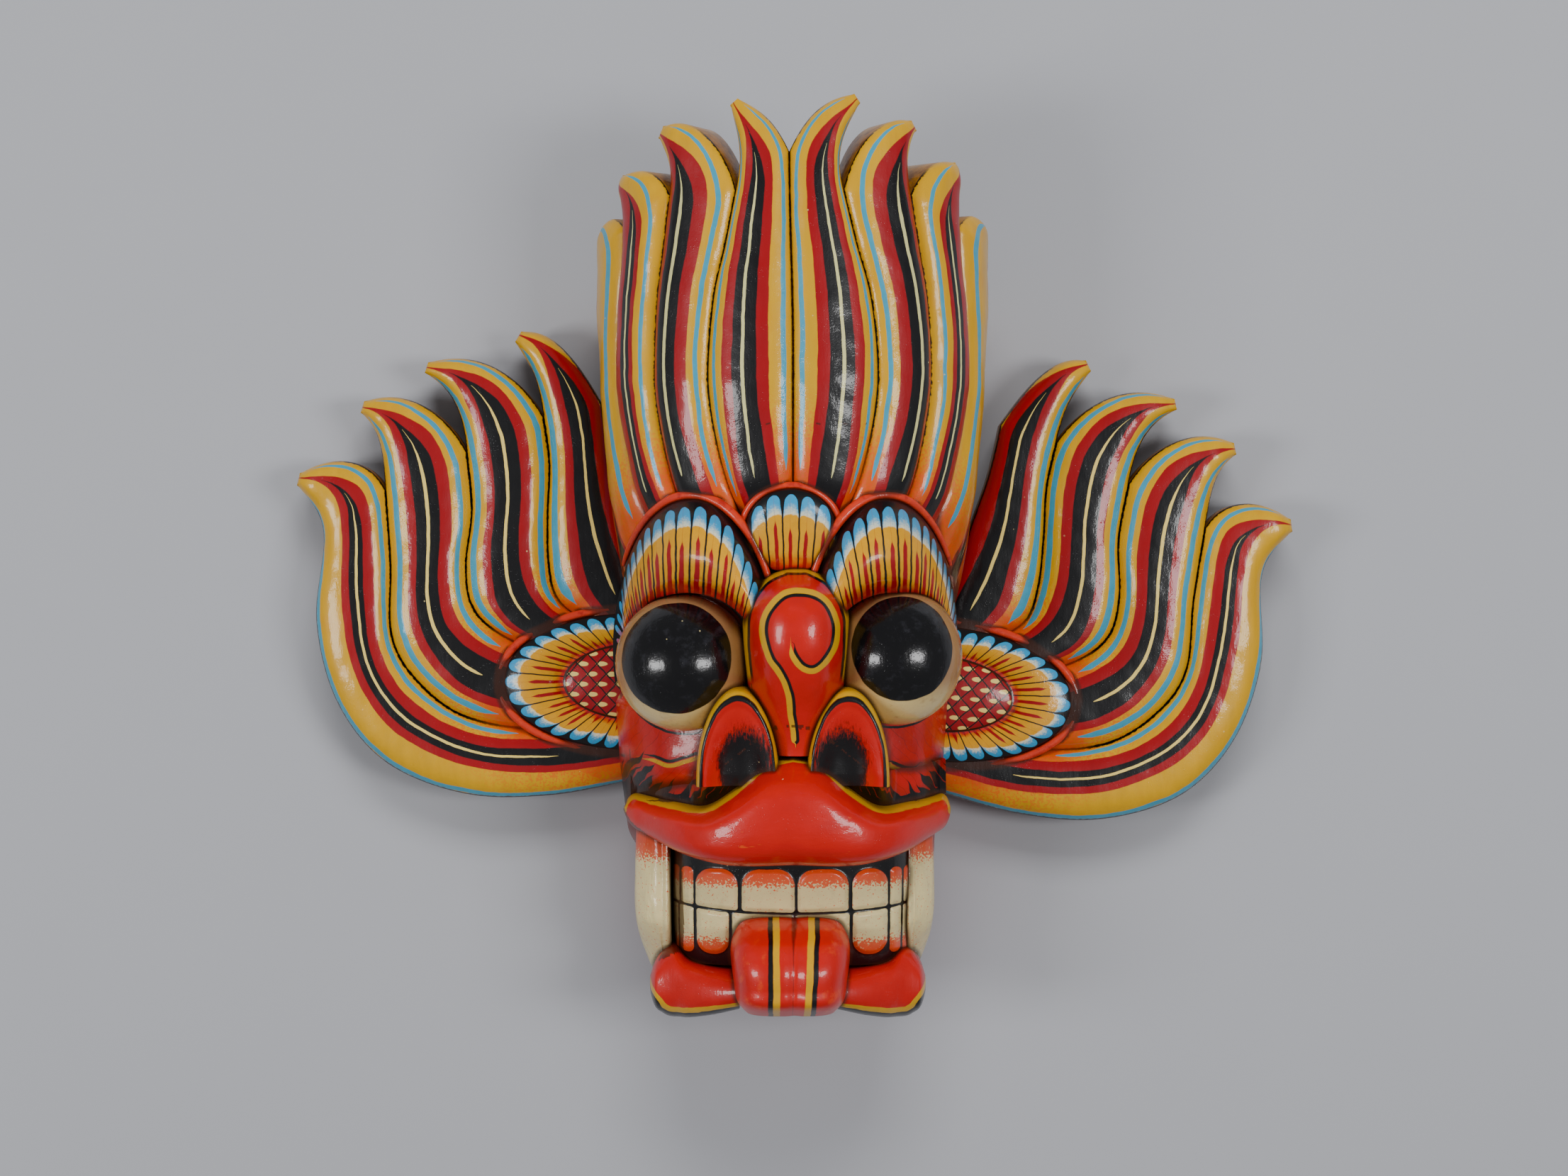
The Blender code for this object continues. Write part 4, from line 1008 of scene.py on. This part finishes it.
def rimFinish():
    b = Brushwork("rimEnamel")
    colour = b.shade(paint["rim"], 0.4, 5)
    colour = b.mottle(colour, paint["rimDark"], 4, 0.52, 0.7, rough=0.65)
    colour = b.mottle(colour, paint["stipple"], 2.2, 0.56, 0.68, 0.5, detail=3, rough=0.5)
    return b.enamel(b.agedAndShaded(colour, 0.5))


def makeRims():
    solids = []
    for own in (brow["left"], brow["right"]):
        angle = np.linspace(math.radians(rim["browFrom"]), math.radians(rim["browTo"]), 120)
        x = own["x"] + (own["wide"] + 1.3) * np.cos(angle)
        y = brow["y"] + (brow["high"] + 1.6) * np.sin(angle)
        z = front(x, y) + 1.6 + 3.4 * smooth(angle, math.radians(95), math.radians(130))
        half = rim["browHalf"] * (0.35 + 0.65 * np.sin(np.linspace(0, math.pi, 120)) ** 0.5)
        solids.append(roll(tubeAlong(spots3(own["side"] * x, y, z), half), {}))
    angle = np.linspace(math.radians(rim["fanFrom"]), math.radians(rim["fanTo"]), 70)
    x = fan["x"] + (fan["wide"] + 0.8) * np.cos(angle)
    y = fan["y"] + (fan["high"] + 0.8) * np.sin(angle)
    solids.append(roll(tubeAlong(spots3(x, y, front(x, y) + 2.4), rim["fanHalf"]), {}))
    makePiece("browRims", solids, [rimPaint])


def makeEarRim(key, place):
    angle = np.linspace(math.radians(rim["earFrom"]), math.radians(rim["earTo"]), 120)
    wide, high = ear["length"] + ear["tuck"] + 1.2, ear["halfHeight"] + 1.2
    spots = np.stack([wide * np.cos(angle) - ear["tuck"], high * np.sin(angle) - ear["drop"]], -1)
    path = wingPlace(place, spots, wing["groove"] + rim["earRise"])
    makePiece(key + "EarRim", [roll(tubeAlong(path, rim["earHalf"]), {})], [rimPaint], key + "_wing")


rimPaint = rimFinish()
makeRims()
for key in ("left", "right"):
    makeEarRim(key, wing[key])
print("stage: rims done")


# Eyes: domed balls with a painted black cap that looks outward
def makeEye(own):
    side = own["side"]
    centre = np.array([side * own["x"], own["y"], float(front(own["x"], own["y"])) + eye["lift"]])
    outward, upward = math.radians(side * own["outward"]), math.radians(-own["upward"])
    turn = np.array(Matrix.Rotation(outward, 3, "Y") @ Matrix.Rotation(upward, 3, "X"))
    polar = np.radians(np.linspace(0, 118, 72))[:, None]
    angle = np.linspace(0, 2 * math.pi, 109)[None, :]
    local = spots3(np.sin(polar) * np.cos(angle), np.sin(polar) * np.sin(angle), np.cos(polar))
    reach = eye["radius"] * np.array([own["wide"], 1, 1])
    top = centre + reach * (local @ turn.T)
    bottom = centre + reach * ((local * (0.8, 0.8, 0) + (0, 0, -0.46)) @ turn.T)
    marks = dict(capWay=np.degrees(polar) - own["cap"], lowWay=smooth(top[..., 1] - centre[1], -6, -17))
    solid = slab(top, bottom, marks, {"start": None, "left": None, "right": None})
    makePiece(sided("eye", side), [solid], [eyePaint])


def eyeFinish():
    b = Brushwork("eyeEnamel")
    colour = b.shade(paint["sclera"], 0.25, 6)
    # the upper part of the ball brown-tan: a painted lid ring, with painted shade under the brow
    colour = b.blend(b.times(b.sub(1, b.mark("lowWay")), 0.75), colour, b.shade(paint["lidAndShade"], 0.4, 5))
    colour = b.mottle(colour, paint["scleraDark"], 3, 0.5, 0.75, 0.4)
    black = b.mottle(paint["black"], paint["blackWorn"], 5, 0.5, 0.72, 0.5, detail=5, rough=0.7)
    cap = b.times(b.waver(b.mark("capWay"), 9, 1.4), -0.42)
    colour = b.blend(b.inside(cap, 0.25), colour, black)
    return b.enamel(b.agedAndShaded(colour, 1.6), rough=0.2)


eyePaint = eyeFinish()
makeEye(eye["left"])
makeEye(eye["right"])
print("stage: eyes done")


# Nose: a bulb that narrows to a point between the nostrils, with a painted curl
nose = dict(
    x=1.2, top=-3.5, bottom=-68.6, halfWidth=18.8, rise=37.7,
    widths=(
        (0, 0.2), (0.04, 0.5), (0.12, 0.78), (0.24, 0.97), (0.38, 1.0), (0.55, 0.96), (0.7, 0.87),
        (0.84, 0.70), (1, 0.50),
    ),
    curl=(
        (-0.6, -30.0), (0.0, -33.2), (1.7, -36.1), (4.0, -37.9), (6.9, -38.4), (9.8, -36.7), (12.2, -33.8),
        (14.2, -29.7), (14.8, -25.1), (14.2, -21.0), (12.2, -16.9), (9.3, -14.0), (5.2, -12.3), (0.5, -12.0),
        (-3.5, -13.2), (-7.0, -16.4), (-9.3, -20.4), (-10.2, -25.1), (-9.3, -30.3), (-7.6, -35.0),
        (-4.7, -39.0), (-2.4, -43.4), (-1.2, -48.2), (-0.6, -53.7), (0.0, -58.0), (0.6, -62.9),
    ),
)
nostril = dict(x=19.0, y=-79.0, wide=14.8, high=34.5, rise=23.5, dish=6.5)


def makeNose():
    share = (np.linspace(0, 1, 110)[:, None]) ** 1.15
    across = np.sin(np.linspace(-1, 1, 75) * math.pi / 2)[None, :]
    y = nose["top"] + (nose["bottom"] - nose["top"]) * share + 0 * across
    x = nose["x"] + nose["halfWidth"] * ease(share, *nose["widths"]) * across
    swell = 1 - (np.clip(0.4 - share, 0, 0.4) / 0.4) ** 2.6
    lengthwise = np.clip(swell, 0, 1) ** 0.5 * (1 - 0.42 * smooth(share, 0.4, 1.0))
    dome = nose["rise"] * lengthwise * (1 - np.abs(across) ** 2.6) ** 0.5
    down = np.linspace(0, 1, 90)
    half = nose["halfWidth"] * ease(down, *nose["widths"])
    edgeY = nose["top"] + (nose["bottom"] - nose["top"]) * down
    outline = np.concatenate([
        np.stack([nose["x"] - half[::-1], edgeY[::-1]], -1), np.stack([nose["x"] + half, edgeY], -1),
    ])
    edge, _ = besidePath(x, y, outline)
    curl, along = besidePath(x, y, spline(nose["curl"], np.linspace(0, 1, 160)))
    curlHalf = 0.95 * smooth(along, -1, 4) * (0.6 + 0.4 * smooth(along, 150, 90))
    marks = dict(edgeWay=np.abs(edge), lowWay=y, curlGap=curl, curlAway=np.abs(curl), curlHalf=curlHalf)
    top = spots3(x, y, front(nose["x"], y) - 4 + dome + handCut(x, y, 0.8))
    bottom = spots3(x, y, front(nose["x"], y) - 12)
    makePiece("noseBulb", [slab(top, bottom, marks)], [nosePaint])


def noseFinish():
    b = Brushwork("noseEnamel")
    colour = b.shade(paint["face"], 0.28, 7)
    colour = b.mottle(colour, paint["noseDark"], 9, 0.5, 0.72, 0.4, detail=3, rough=0.5)
    gap, half = b.waver(b.mark("curlGap"), 7, 0.25), b.mark("curlHalf")
    near = b.within(b.mark("curlAway"), 2.6)
    colour = b.blend(b.times(b.band(gap, 0.95, b.times(half, 0.8)), near), colour, paint["black"])
    colour = b.blend(b.times(b.band(gap, -0.35, half), near), colour, paint["yellow"])
    edge = b.waver(b.mark("edgeWay"), 6, 0.25)
    high = b.soft(b.mark("lowWay"), -44, -40)
    colour = b.blend(b.times(b.within(edge, 2.9), high), colour, paint["black"])
    colour = b.blend(b.times(b.within(edge, 2.0), high), colour, b.lineYellow())
    return b.enamel(b.agedAndShaded(colour, 1.8))


def makeNostril(side):
    angle = np.linspace(0, math.pi, 110)[None, :]
    share = np.linspace(0, 1, 60)[:, None] ** 0.75
    x = side * nostril["x"] + nostril["wide"] * share * np.cos(angle)
    y = nostril["y"] + nostril["high"] * share * np.sin(angle)
    dish = nostril["dish"]
    relief = ease(share, (0, -dish), (0.35, -dish + 1), (0.78, -0.6), (0.9, 0), (0.96, -2.5))
    relief = relief - 15.5 * smooth(share, 0.95, 1.0) ** 1.5
    z = front(side * nostril["x"] * 0.9, y) + nostril["rise"] + relief
    radius = np.hypot(nostril["wide"] * np.cos(angle), nostril["high"] * np.sin(angle))
    reach = np.minimum(radius, nostril["wide"] * 1.35)
    marks = dict(edgeWay=reach * (1 - share), footWay=y - nostril["y"], inward=nostril["x"] - side * x)
    top = spots3(x, y, z + handCut(x, y, 0.7))
    bottom = spots3(x, y, np.minimum(front(nostril["x"], y) - 11, z - 1))
    makePiece(sided("nostril", side), [slab(top, bottom, marks, {"start": None})], [nostrilPaint])


def nostrilFinish():
    b = Brushwork("nostrilEnamel")
    colour = b.shade(paint["face"], 0.25, 7)
    edge = b.waver(b.mark("edgeWay"), 6, 0.25)
    hair = b.noise(1.0, 3, 0.7, (1.4, 0.26, 1))
    # inside the nostril: dark brush hairs and painted shade, thickest low down and toward the nose
    depth = b.add(edge, b.times(b.mark("inward"), 0.36))
    nostrilShade = b.times(b.soft(depth, 2.5, 13), b.soft(b.mark("footWay"), 33, 8))
    colour = b.blend(b.soft(b.add(hair, nostrilShade), 0.62, 1.05), colour, paint["hair"])
    colour = b.blend(b.soft(b.add(hair, b.times(nostrilShade, 0.8)), 0.78, 1.02), colour, paint["black"])
    colour = b.blend(b.within(edge, 2.9), colour, paint["black"])
    colour = b.blend(b.within(edge, 1.7), colour, b.lineYellow())
    return b.enamel(b.agedAndShaded(colour, 1.6))


nosePaint, nostrilPaint = noseFinish(), nostrilFinish()
makeNose()
makeNostril(-1)
makeNostril(1)
print("stage: nose done")


def signedPower(value, power):
    return np.sign(value) * np.abs(value) ** power


def makeUpperLip():
    rings, turns, swing = [], 64, math.radians(86)
    angle = 2 * math.pi * np.arange(turns) / turns
    out, up = np.cos(angle), np.sin(angle)
    for share in np.linspace(-1, 1, 141):
        x = lip["halfWidth"] * math.sin(share * swing) / math.sin(swing)
        top, bottom = float(lipTop(x)), float(ease(abs(x), *lip["bottom"]))
        endWay = max(0, abs(x) - lip["halfWidth"] + lip["endRound"]) / lip["endRound"]
        pinch = math.sqrt(max(0.02, 1 - endWay**2))
        proud = lip["proud"] * (1 - 0.42 * smooth(abs(share), 0.25, 1)) * (0.6 + 0.4 * pinch)
        base = front(softLeast(abs(x), 52), -95) - 8
        y = (top + bottom) / 2 + (top - bottom) / 2 * pinch * signedPower(up, 0.7)
        z = base + (proud + 8) * (0.5 + 0.5 * signedPower(out, 0.6)) - 5.5 * smooth(up, 0.2, 1)
        rings.append(spots3(x + lip["endShift"] * share**2, y, z))
    rings = np.array(rings)
    edge = np.stack([rings[:, 0, 0], rings[..., 1].max(1)], -1)
    edge = np.vstack([rings[0].mean(0)[:2], edge, rings[-1].mean(0)[:2]])
    gap, _ = besidePath(rings[..., 0], rings[..., 1], edge)
    makePiece("upperLip", [roll(rings, dict(topWay=np.abs(gap)))], [lipPaint])


def lipFinish():
    b = Brushwork("lipEnamel")
    colour = b.shade(paint["face"], 0.25, 9)
    colour = b.mottle(colour, paint["lipDark"], 8, 0.5, 0.7, 0.4, rough=0.5, stretch=(0.35, 1, 1))
    scratch = b.soft(b.noise(2.2, 3, 0.6, (0.12, 1, 1)), 0.66, 0.72)
    scratch = b.times(scratch, b.soft(b.noise(12, 2), 0.5, 0.62))
    colour = b.blend(b.times(scratch, 0.6), colour, paint["scratch"])
    colour = b.blend(b.within(b.waver(b.mark("topWay"), 5, 0.3), 1.4), colour, b.lineYellow())
    return b.enamel(b.agedAndShaded(colour, 1.8), stroke=(0.25, 1, 1))


def makeLipBank():  # the painted slope between the nostrils, the cheeks and the upper lip
    x = np.linspace(-58.6, 55.4, 200)[None, :]
    rise = np.linspace(-3.0, 12.0, 46)[:, None]
    y = lipTop(x) + rise
    inNose = 1 - smooth(np.abs(x), 30, 37)
    tall = ease(rise, (-3, 6.0), (0, 8.0), (4, 11.0), (8, 14.0), (12, 15.0))
    low = ease(rise, (-3, 4.5), (0, 4.5), (4, 2.6), (8, 0.2), (12, -2.5))
    z = front(np.clip(x, -54, 53), y) + tall * inNose + low * (1 - inNose) + handCut(x, y, 0.8)
    top = spots3(x, y, z)
    bottom = spots3(x * 0.97, y, front(x * 0.94, y) - 9)
    marks = {key: np.broadcast_to(value, z.shape)[::-1] for key, value in strokeMarks(x, y).items()}
    makePiece("lipBank", [slab(top[::-1], bottom[::-1], marks)], [bankPaint])


def bankFinish():
    b = Brushwork("bankEnamel")
    return b.enamel(b.agedAndShaded(lipStrokes(b, b.shade(paint["face"], 0.35, 6)), 1.8))


lipPaint, bankPaint = lipFinish(), bankFinish()
makeUpperLip()
makeLipBank()

teeth = dict(
    halfWidth=44.4, proud=14.5, top=-100.0, bottom=-144.0, bite=-124.4, gumTop=-108.7, gumBottom=-139.8,
    upper=(
        (-42.5, -40.1), (-39.4, -35.0), (-34.1, -19.3), (-17.8, 0.6), (1.7, 19.4), (20.8, 33.3), (34.2, 38.4),
        (39.2, 42.5),
    ),
    lower=(
        (-42.5, -40.6), (-40.0, -35.0), (-33.8, -22.4), (-21.2, 0.2), (1.0, 19.8), (21.0, 33.3), (34.3, 38.2),
        (39.0, 42.5),
    ),
)


def toothEdge(x, y):  # distance inside the nearest tooth, its gum end rounded
    bite = teeth["bite"] + 2.4 * (np.abs(x) / 40) ** 2
    best, gum = np.full(x.shape, -9.0), np.full(x.shape, 9.0)
    for row, low, high in (("upper", bite + 0.5, teeth["gumTop"]), ("lower", teeth["gumBottom"], bite - 0.5)):
        way = 1 if row == "upper" else -1
        for left, right in teeth[row]:
            middle, half = (left + right) / 2, (right - left) / 2
            middleY, halfY = (low + high) / 2, (high - low) / 2
            corner = np.where((y - middleY) * way > 0, min(half * 0.9, 6.0), min(half * 0.3, 1.0))
            dx, dy = np.abs(x - middle) - half + corner, np.abs(y - middleY) - halfY + corner
            past = np.hypot(np.maximum(dx, 0), np.maximum(dy, 0))
            depth = corner - past - np.minimum(np.maximum(dx, dy), 0)
            gum = np.where(depth > best, (high - y) if way > 0 else (y - low), gum)
            best = np.maximum(best, depth)
    return best, gum


def makeTeeth():
    bend, back = 0.66, 44
    y = np.linspace(teeth["top"], teeth["bottom"], 110)[:, None]
    turn = np.linspace(-math.pi / 2, math.pi / 2, 4000)
    way = gone(np.stack([signedPower(np.sin(turn), bend) * 1.3, np.cos(turn) ** bend], -1))
    angle = np.interp(np.linspace(0, way[-1], 220), way, turn)[None, :]
    shrink = ease(y, (-144, 2.5), (-132, 0.8), (-118, 0.0), (-100, 0.0))
    width, depth = teeth["halfWidth"] - shrink, sectionSize(y)[1] + teeth["proud"] - shrink
    x = width * signedPower(np.sin(angle), bend)
    z = back + (depth - back) * np.cos(angle) ** bend
    y = y + 0 * x
    edge, gum = toothEdge(x, y)
    relief = 1.3 * smooth(edge, -0.5, 1.6) - 1.0
    top = spots3(x, y, np.maximum(z + relief + handCut(x, y, 0.5), back - 3))
    bottom = spots3(x * 0.96, y, np.minimum(front(x, y) - 9, z - 2))
    makePiece("teethBand", [slab(top, bottom, dict(toothWay=edge, gumWay=gum))], [teethPaint], sharp=55)


def boneLayers(b, gum, reach):
    colour = b.mottle(b.shade(paint["bone"], 0.22, 6), paint["boneDark"], 4, 0.52, 0.72, 0.3)
    red = b.shade(paint["stipple"], 0.3, 2)
    dots = b.soft(b.add(b.noise(0.75, 1), b.times(b.soft(gum, reach, reach * 0.3), 0.4)), 0.66, 0.74)
    colour = b.blend(b.times(dots, 0.9), colour, red)
    return b.blend(b.times(b.soft(gum, reach * 0.62, reach * 0.1), 0.8), colour, red)


def teethFinish():
    b = Brushwork("toothEnamel")
    colour = boneLayers(b, b.mark("gumWay"), 8.5)
    colour = b.blend(b.inside(b.waver(b.mark("toothWay"), 3, 0.15), 0.16), paint["black"], colour)
    return b.enamel(b.agedAndShaded(colour, 1.4))


def tuskFinish():
    b = Brushwork("tuskEnamel")
    colour = boneLayers(b, b.mark("gumWay"), 13.0)
    return b.enamel(b.agedAndShaded(colour, 1.6), bumps=b.times(b.noise(4.5, 3, 0.55, (1, 0.35, 1)), 1.5))


tusk = dict(
    inner=41.8, outerLeft=54.2, outerRight=51.8, top=-92.0, gum=-98.0, bottom=-150.5,
    back=34.0, front=69.0, sink=9.0,
    outline=((-150.5, -5.4), (-146, -3.7), (-140, -1.7), (-127, 0.5), (-112, 0.6), (-92, 0.0)),
)


def makeTusk(side):
    rings, low, back = [], tusk["bottom"], tusk["back"]
    heights = np.concatenate([np.linspace(tusk["top"], low + 4, 44), low + np.array([2.5, 1.2, 0.4, 0.0])])
    for y in heights:
        grow = float(ease(y, *tusk["outline"]))
        inner, outer = tusk["inner"], tusk[sided("outer", side)] + grow
        high = tusk["front"] + grow - tusk["sink"] * smooth(y, -128, -144)
        profile = [
            (inner, back), (outer - 1, back), (outer, back + 6), (outer, high - 12), (outer - 2.5, high - 5),
            (outer - 7, high - 0.5), (inner + 3, high), (inner, high - 1.5), (inner, back),
        ]
        loop = spline(profile, np.linspace(0, 1, 65))[:-1]
        squeeze = 1 - 0.28 * max(0, (low + 2.5 - y) / 2.5) ** 2
        x, z = (loop.mean(0) + (loop - loop.mean(0)) * squeeze).T
        rings.append(spots3(side * x + jawShift, y, z + handCut(x * 2, y, 1.2)))
    marks = dict(gumWay=tusk["gum"] - heights[:, None])
    makePiece(sided("tusk", side), [roll(rings, marks)], [tuskPaint], sharp=50)


lowerLip = dict(
    inner=17.0, outer=49.6, proud=25.0, endRound=3.0, blackDeep=11.5,
    over=(
        (17, -145.6), (29, -144.2), (36, -142.2), (41.0, -138.2), (45.2, -140.8), (48.2, -146.0),
        (49.6, -150.4),
    ),
    under=((17, -159.0), (29, -162.4), (38, -164.0), (44.6, -163.2), (48.2, -159.6), (49.6, -155.4)),
)


def makeLowerLip(side):
    rings, lows, turns = [], [], 56
    angle = 2 * math.pi * np.arange(turns) / turns
    out, up = np.cos(angle), np.sin(angle)
    for share in np.linspace(0, 1, 64):
        x = lowerLip["inner"] + (lowerLip["outer"] - lowerLip["inner"]) * math.sin(share * math.pi / 2)
        over, under = float(ease(x, *lowerLip["over"])), float(ease(x, *lowerLip["under"]))
        y, half = (over + under) / 2, (over - under) / 2
        endWay = max(0, x - lowerLip["outer"] + lowerLip["endRound"]) / lowerLip["endRound"]
        fat = math.sqrt(max(0.04, 1 - endWay**2))
        base, high = front(softLeast(x, 41), -140) - 12, lowerLip["proud"] * (1 - 0.3 * share) + 10
        z = base + high * (0.5 + 0.5 * fat * signedPower(out, 0.7))
        rings.append(spots3(side * x + jawShift, y + half * signedPower(up, 0.8), z))
        lows.append((side * x + jawShift, y - half))
    rings = np.array(rings)
    end = rings[-1].mean(0)[:2]
    edge = np.array(lows + [tuple(end), (end[0] - side * 0.4, end[1] + 4)])
    gap, _ = besidePath(rings[..., 0], rings[..., 1], edge)
    marks = dict(
        lowEdge=np.abs(gap) + 6 * smooth(rings[..., 1], -159, -147),
        underWay=rings[..., 2].max(1, keepdims=True) - rings[..., 2],
    )
    makePiece(sided("lowerLip", side), [roll(rings, marks)], [lowerLipPaint])


def lowerLipFinish():
    b = Brushwork("lowerLipEnamel")
    colour = b.shade(paint["face"], 0.25, 8)
    edge = b.waver(b.mark("lowEdge"), 5, 0.3)
    lines = b.blend(b.within(edge, 5.0), colour, b.lineYellow())
    lines = b.blend(b.within(edge, 2.9), lines, paint["black"])
    shown = b.within(b.mark("underWay"), b.add(lowerLip["blackDeep"], b.wobble(5, 0.8)))
    return b.enamel(b.agedAndShaded(b.blend(shown, colour, lines), 1.6))


tongue = dict(
    x=-0.9, halfWidth=19.9, top=-124.0, bottom=-158.5, proud=41.0, groove=1.6,
    swell=((0, 0.30), (0.08, 0.62), (0.2, 0.84), (0.42, 0.98), (0.7, 1.0), (0.9, 0.93), (1.0, 0.72)),
    widths=((0, 0.76), (0.09, 0.89), (0.22, 1), (0.66, 1), (0.9, 0.92), (1, 0.8)),
)


def makeTongue():
    share = np.linspace(0, 1, 80)[:, None]
    across = np.sin(np.linspace(-1, 1, 91) * math.pi / 2)[None, :]
    y = tongue["top"] + (tongue["bottom"] - tongue["top"]) * share
    x = tongue["x"] + tongue["halfWidth"] * ease(share, *tongue["widths"]) * across
    roundOff = (1 - np.abs(across) ** 4) ** 0.35
    groove = tongue["groove"] * np.exp(-((across - 0.09) * 8) ** 2)
    depth = sectionSize(-140)[1]
    z = depth + tongue["proud"] * ease(share, *tongue["swell"]) * (0.35 + 0.65 * roundOff) - groove
    lineWay = np.where(x > 0, x + 1.8 * share - 0.4, x - 0.6)
    marks = dict(tongueX=lineWay, tongueTop=smooth(share, 0.42, 0.05))
    makePiece("tongue", [slab(spots3(x, y, z), spots3(x, y, depth - 10), marks)], [tonguePaint])


def tongueFinish():
    b = Brushwork("tongueEnamel")
    colour = b.shade(paint["face"], 0.25, 8)
    away = b.size(b.waver(b.mark("tongueX"), 8, 0.4))
    colour = b.blend(b.band(away, 8.3, 0.85), colour, paint["black"])
    colour = b.blend(b.band(away, 6.3, 1.15), colour, b.lineYellow())
    patch = b.times(b.soft(b.noise(5, 4, 0.6), 0.52, 0.7), 0.5)
    colour = b.blend(b.times(patch, b.inside(b.sub(away, 9.6), 1.5)), colour, paint["tongueLight"])
    # painted shade along the middle fold, wider at the top
    fold = b.within(away, b.add(0.3, b.times(b.mark("tongueTop"), 0.9)), 0.5)
    colour = b.blend(b.times(fold, 0.85), colour, paint["fold"])
    return b.enamel(b.agedAndShaded(colour, 1.6))


teethPaint, tuskPaint = teethFinish(), tuskFinish()
lowerLipPaint, tonguePaint = lowerLipFinish(), tongueFinish()
makeTeeth()
makeTusk(-1)
makeTusk(1)
makeLowerLip(-1)
makeLowerLip(1)
makeTongue()
print("stage: mouth done")


# Where pieces meet: each point learns how near the next piece is, so that painted shade and dust can gather
# there
def markCrevices(pieces, reach=6.0):
    trees = {}
    for piece in pieces:
        mesh = piece.data
        spots, faces = [v.co for v in mesh.vertices], [p.vertices for p in mesh.polygons]
        trees[piece.name] = BVHTree.FromPolygons(spots, faces)
    for piece in pieces:
        mesh = piece.data
        gaps = np.full(len(mesh.vertices), reach, np.float32)
        others = [tree for name, tree in trees.items() if name != piece.name]
        for vertex in mesh.vertices:
            for tree in others:
                hit = tree.find_nearest(vertex.co, reach * mm)
                if hit[0] is not None:
                    inside = (vertex.co - hit[0]).dot(hit[1]) < 0
                    gaps[vertex.index] = min(gaps[vertex.index], 0.0 if inside else hit[3] / mm)
        mesh.attributes.new("crevice", "FLOAT", "POINT").data.foreach_set("value", gaps)


for pieces in dressed.values():
    markCrevices(pieces)
print("stage: crevices marked")
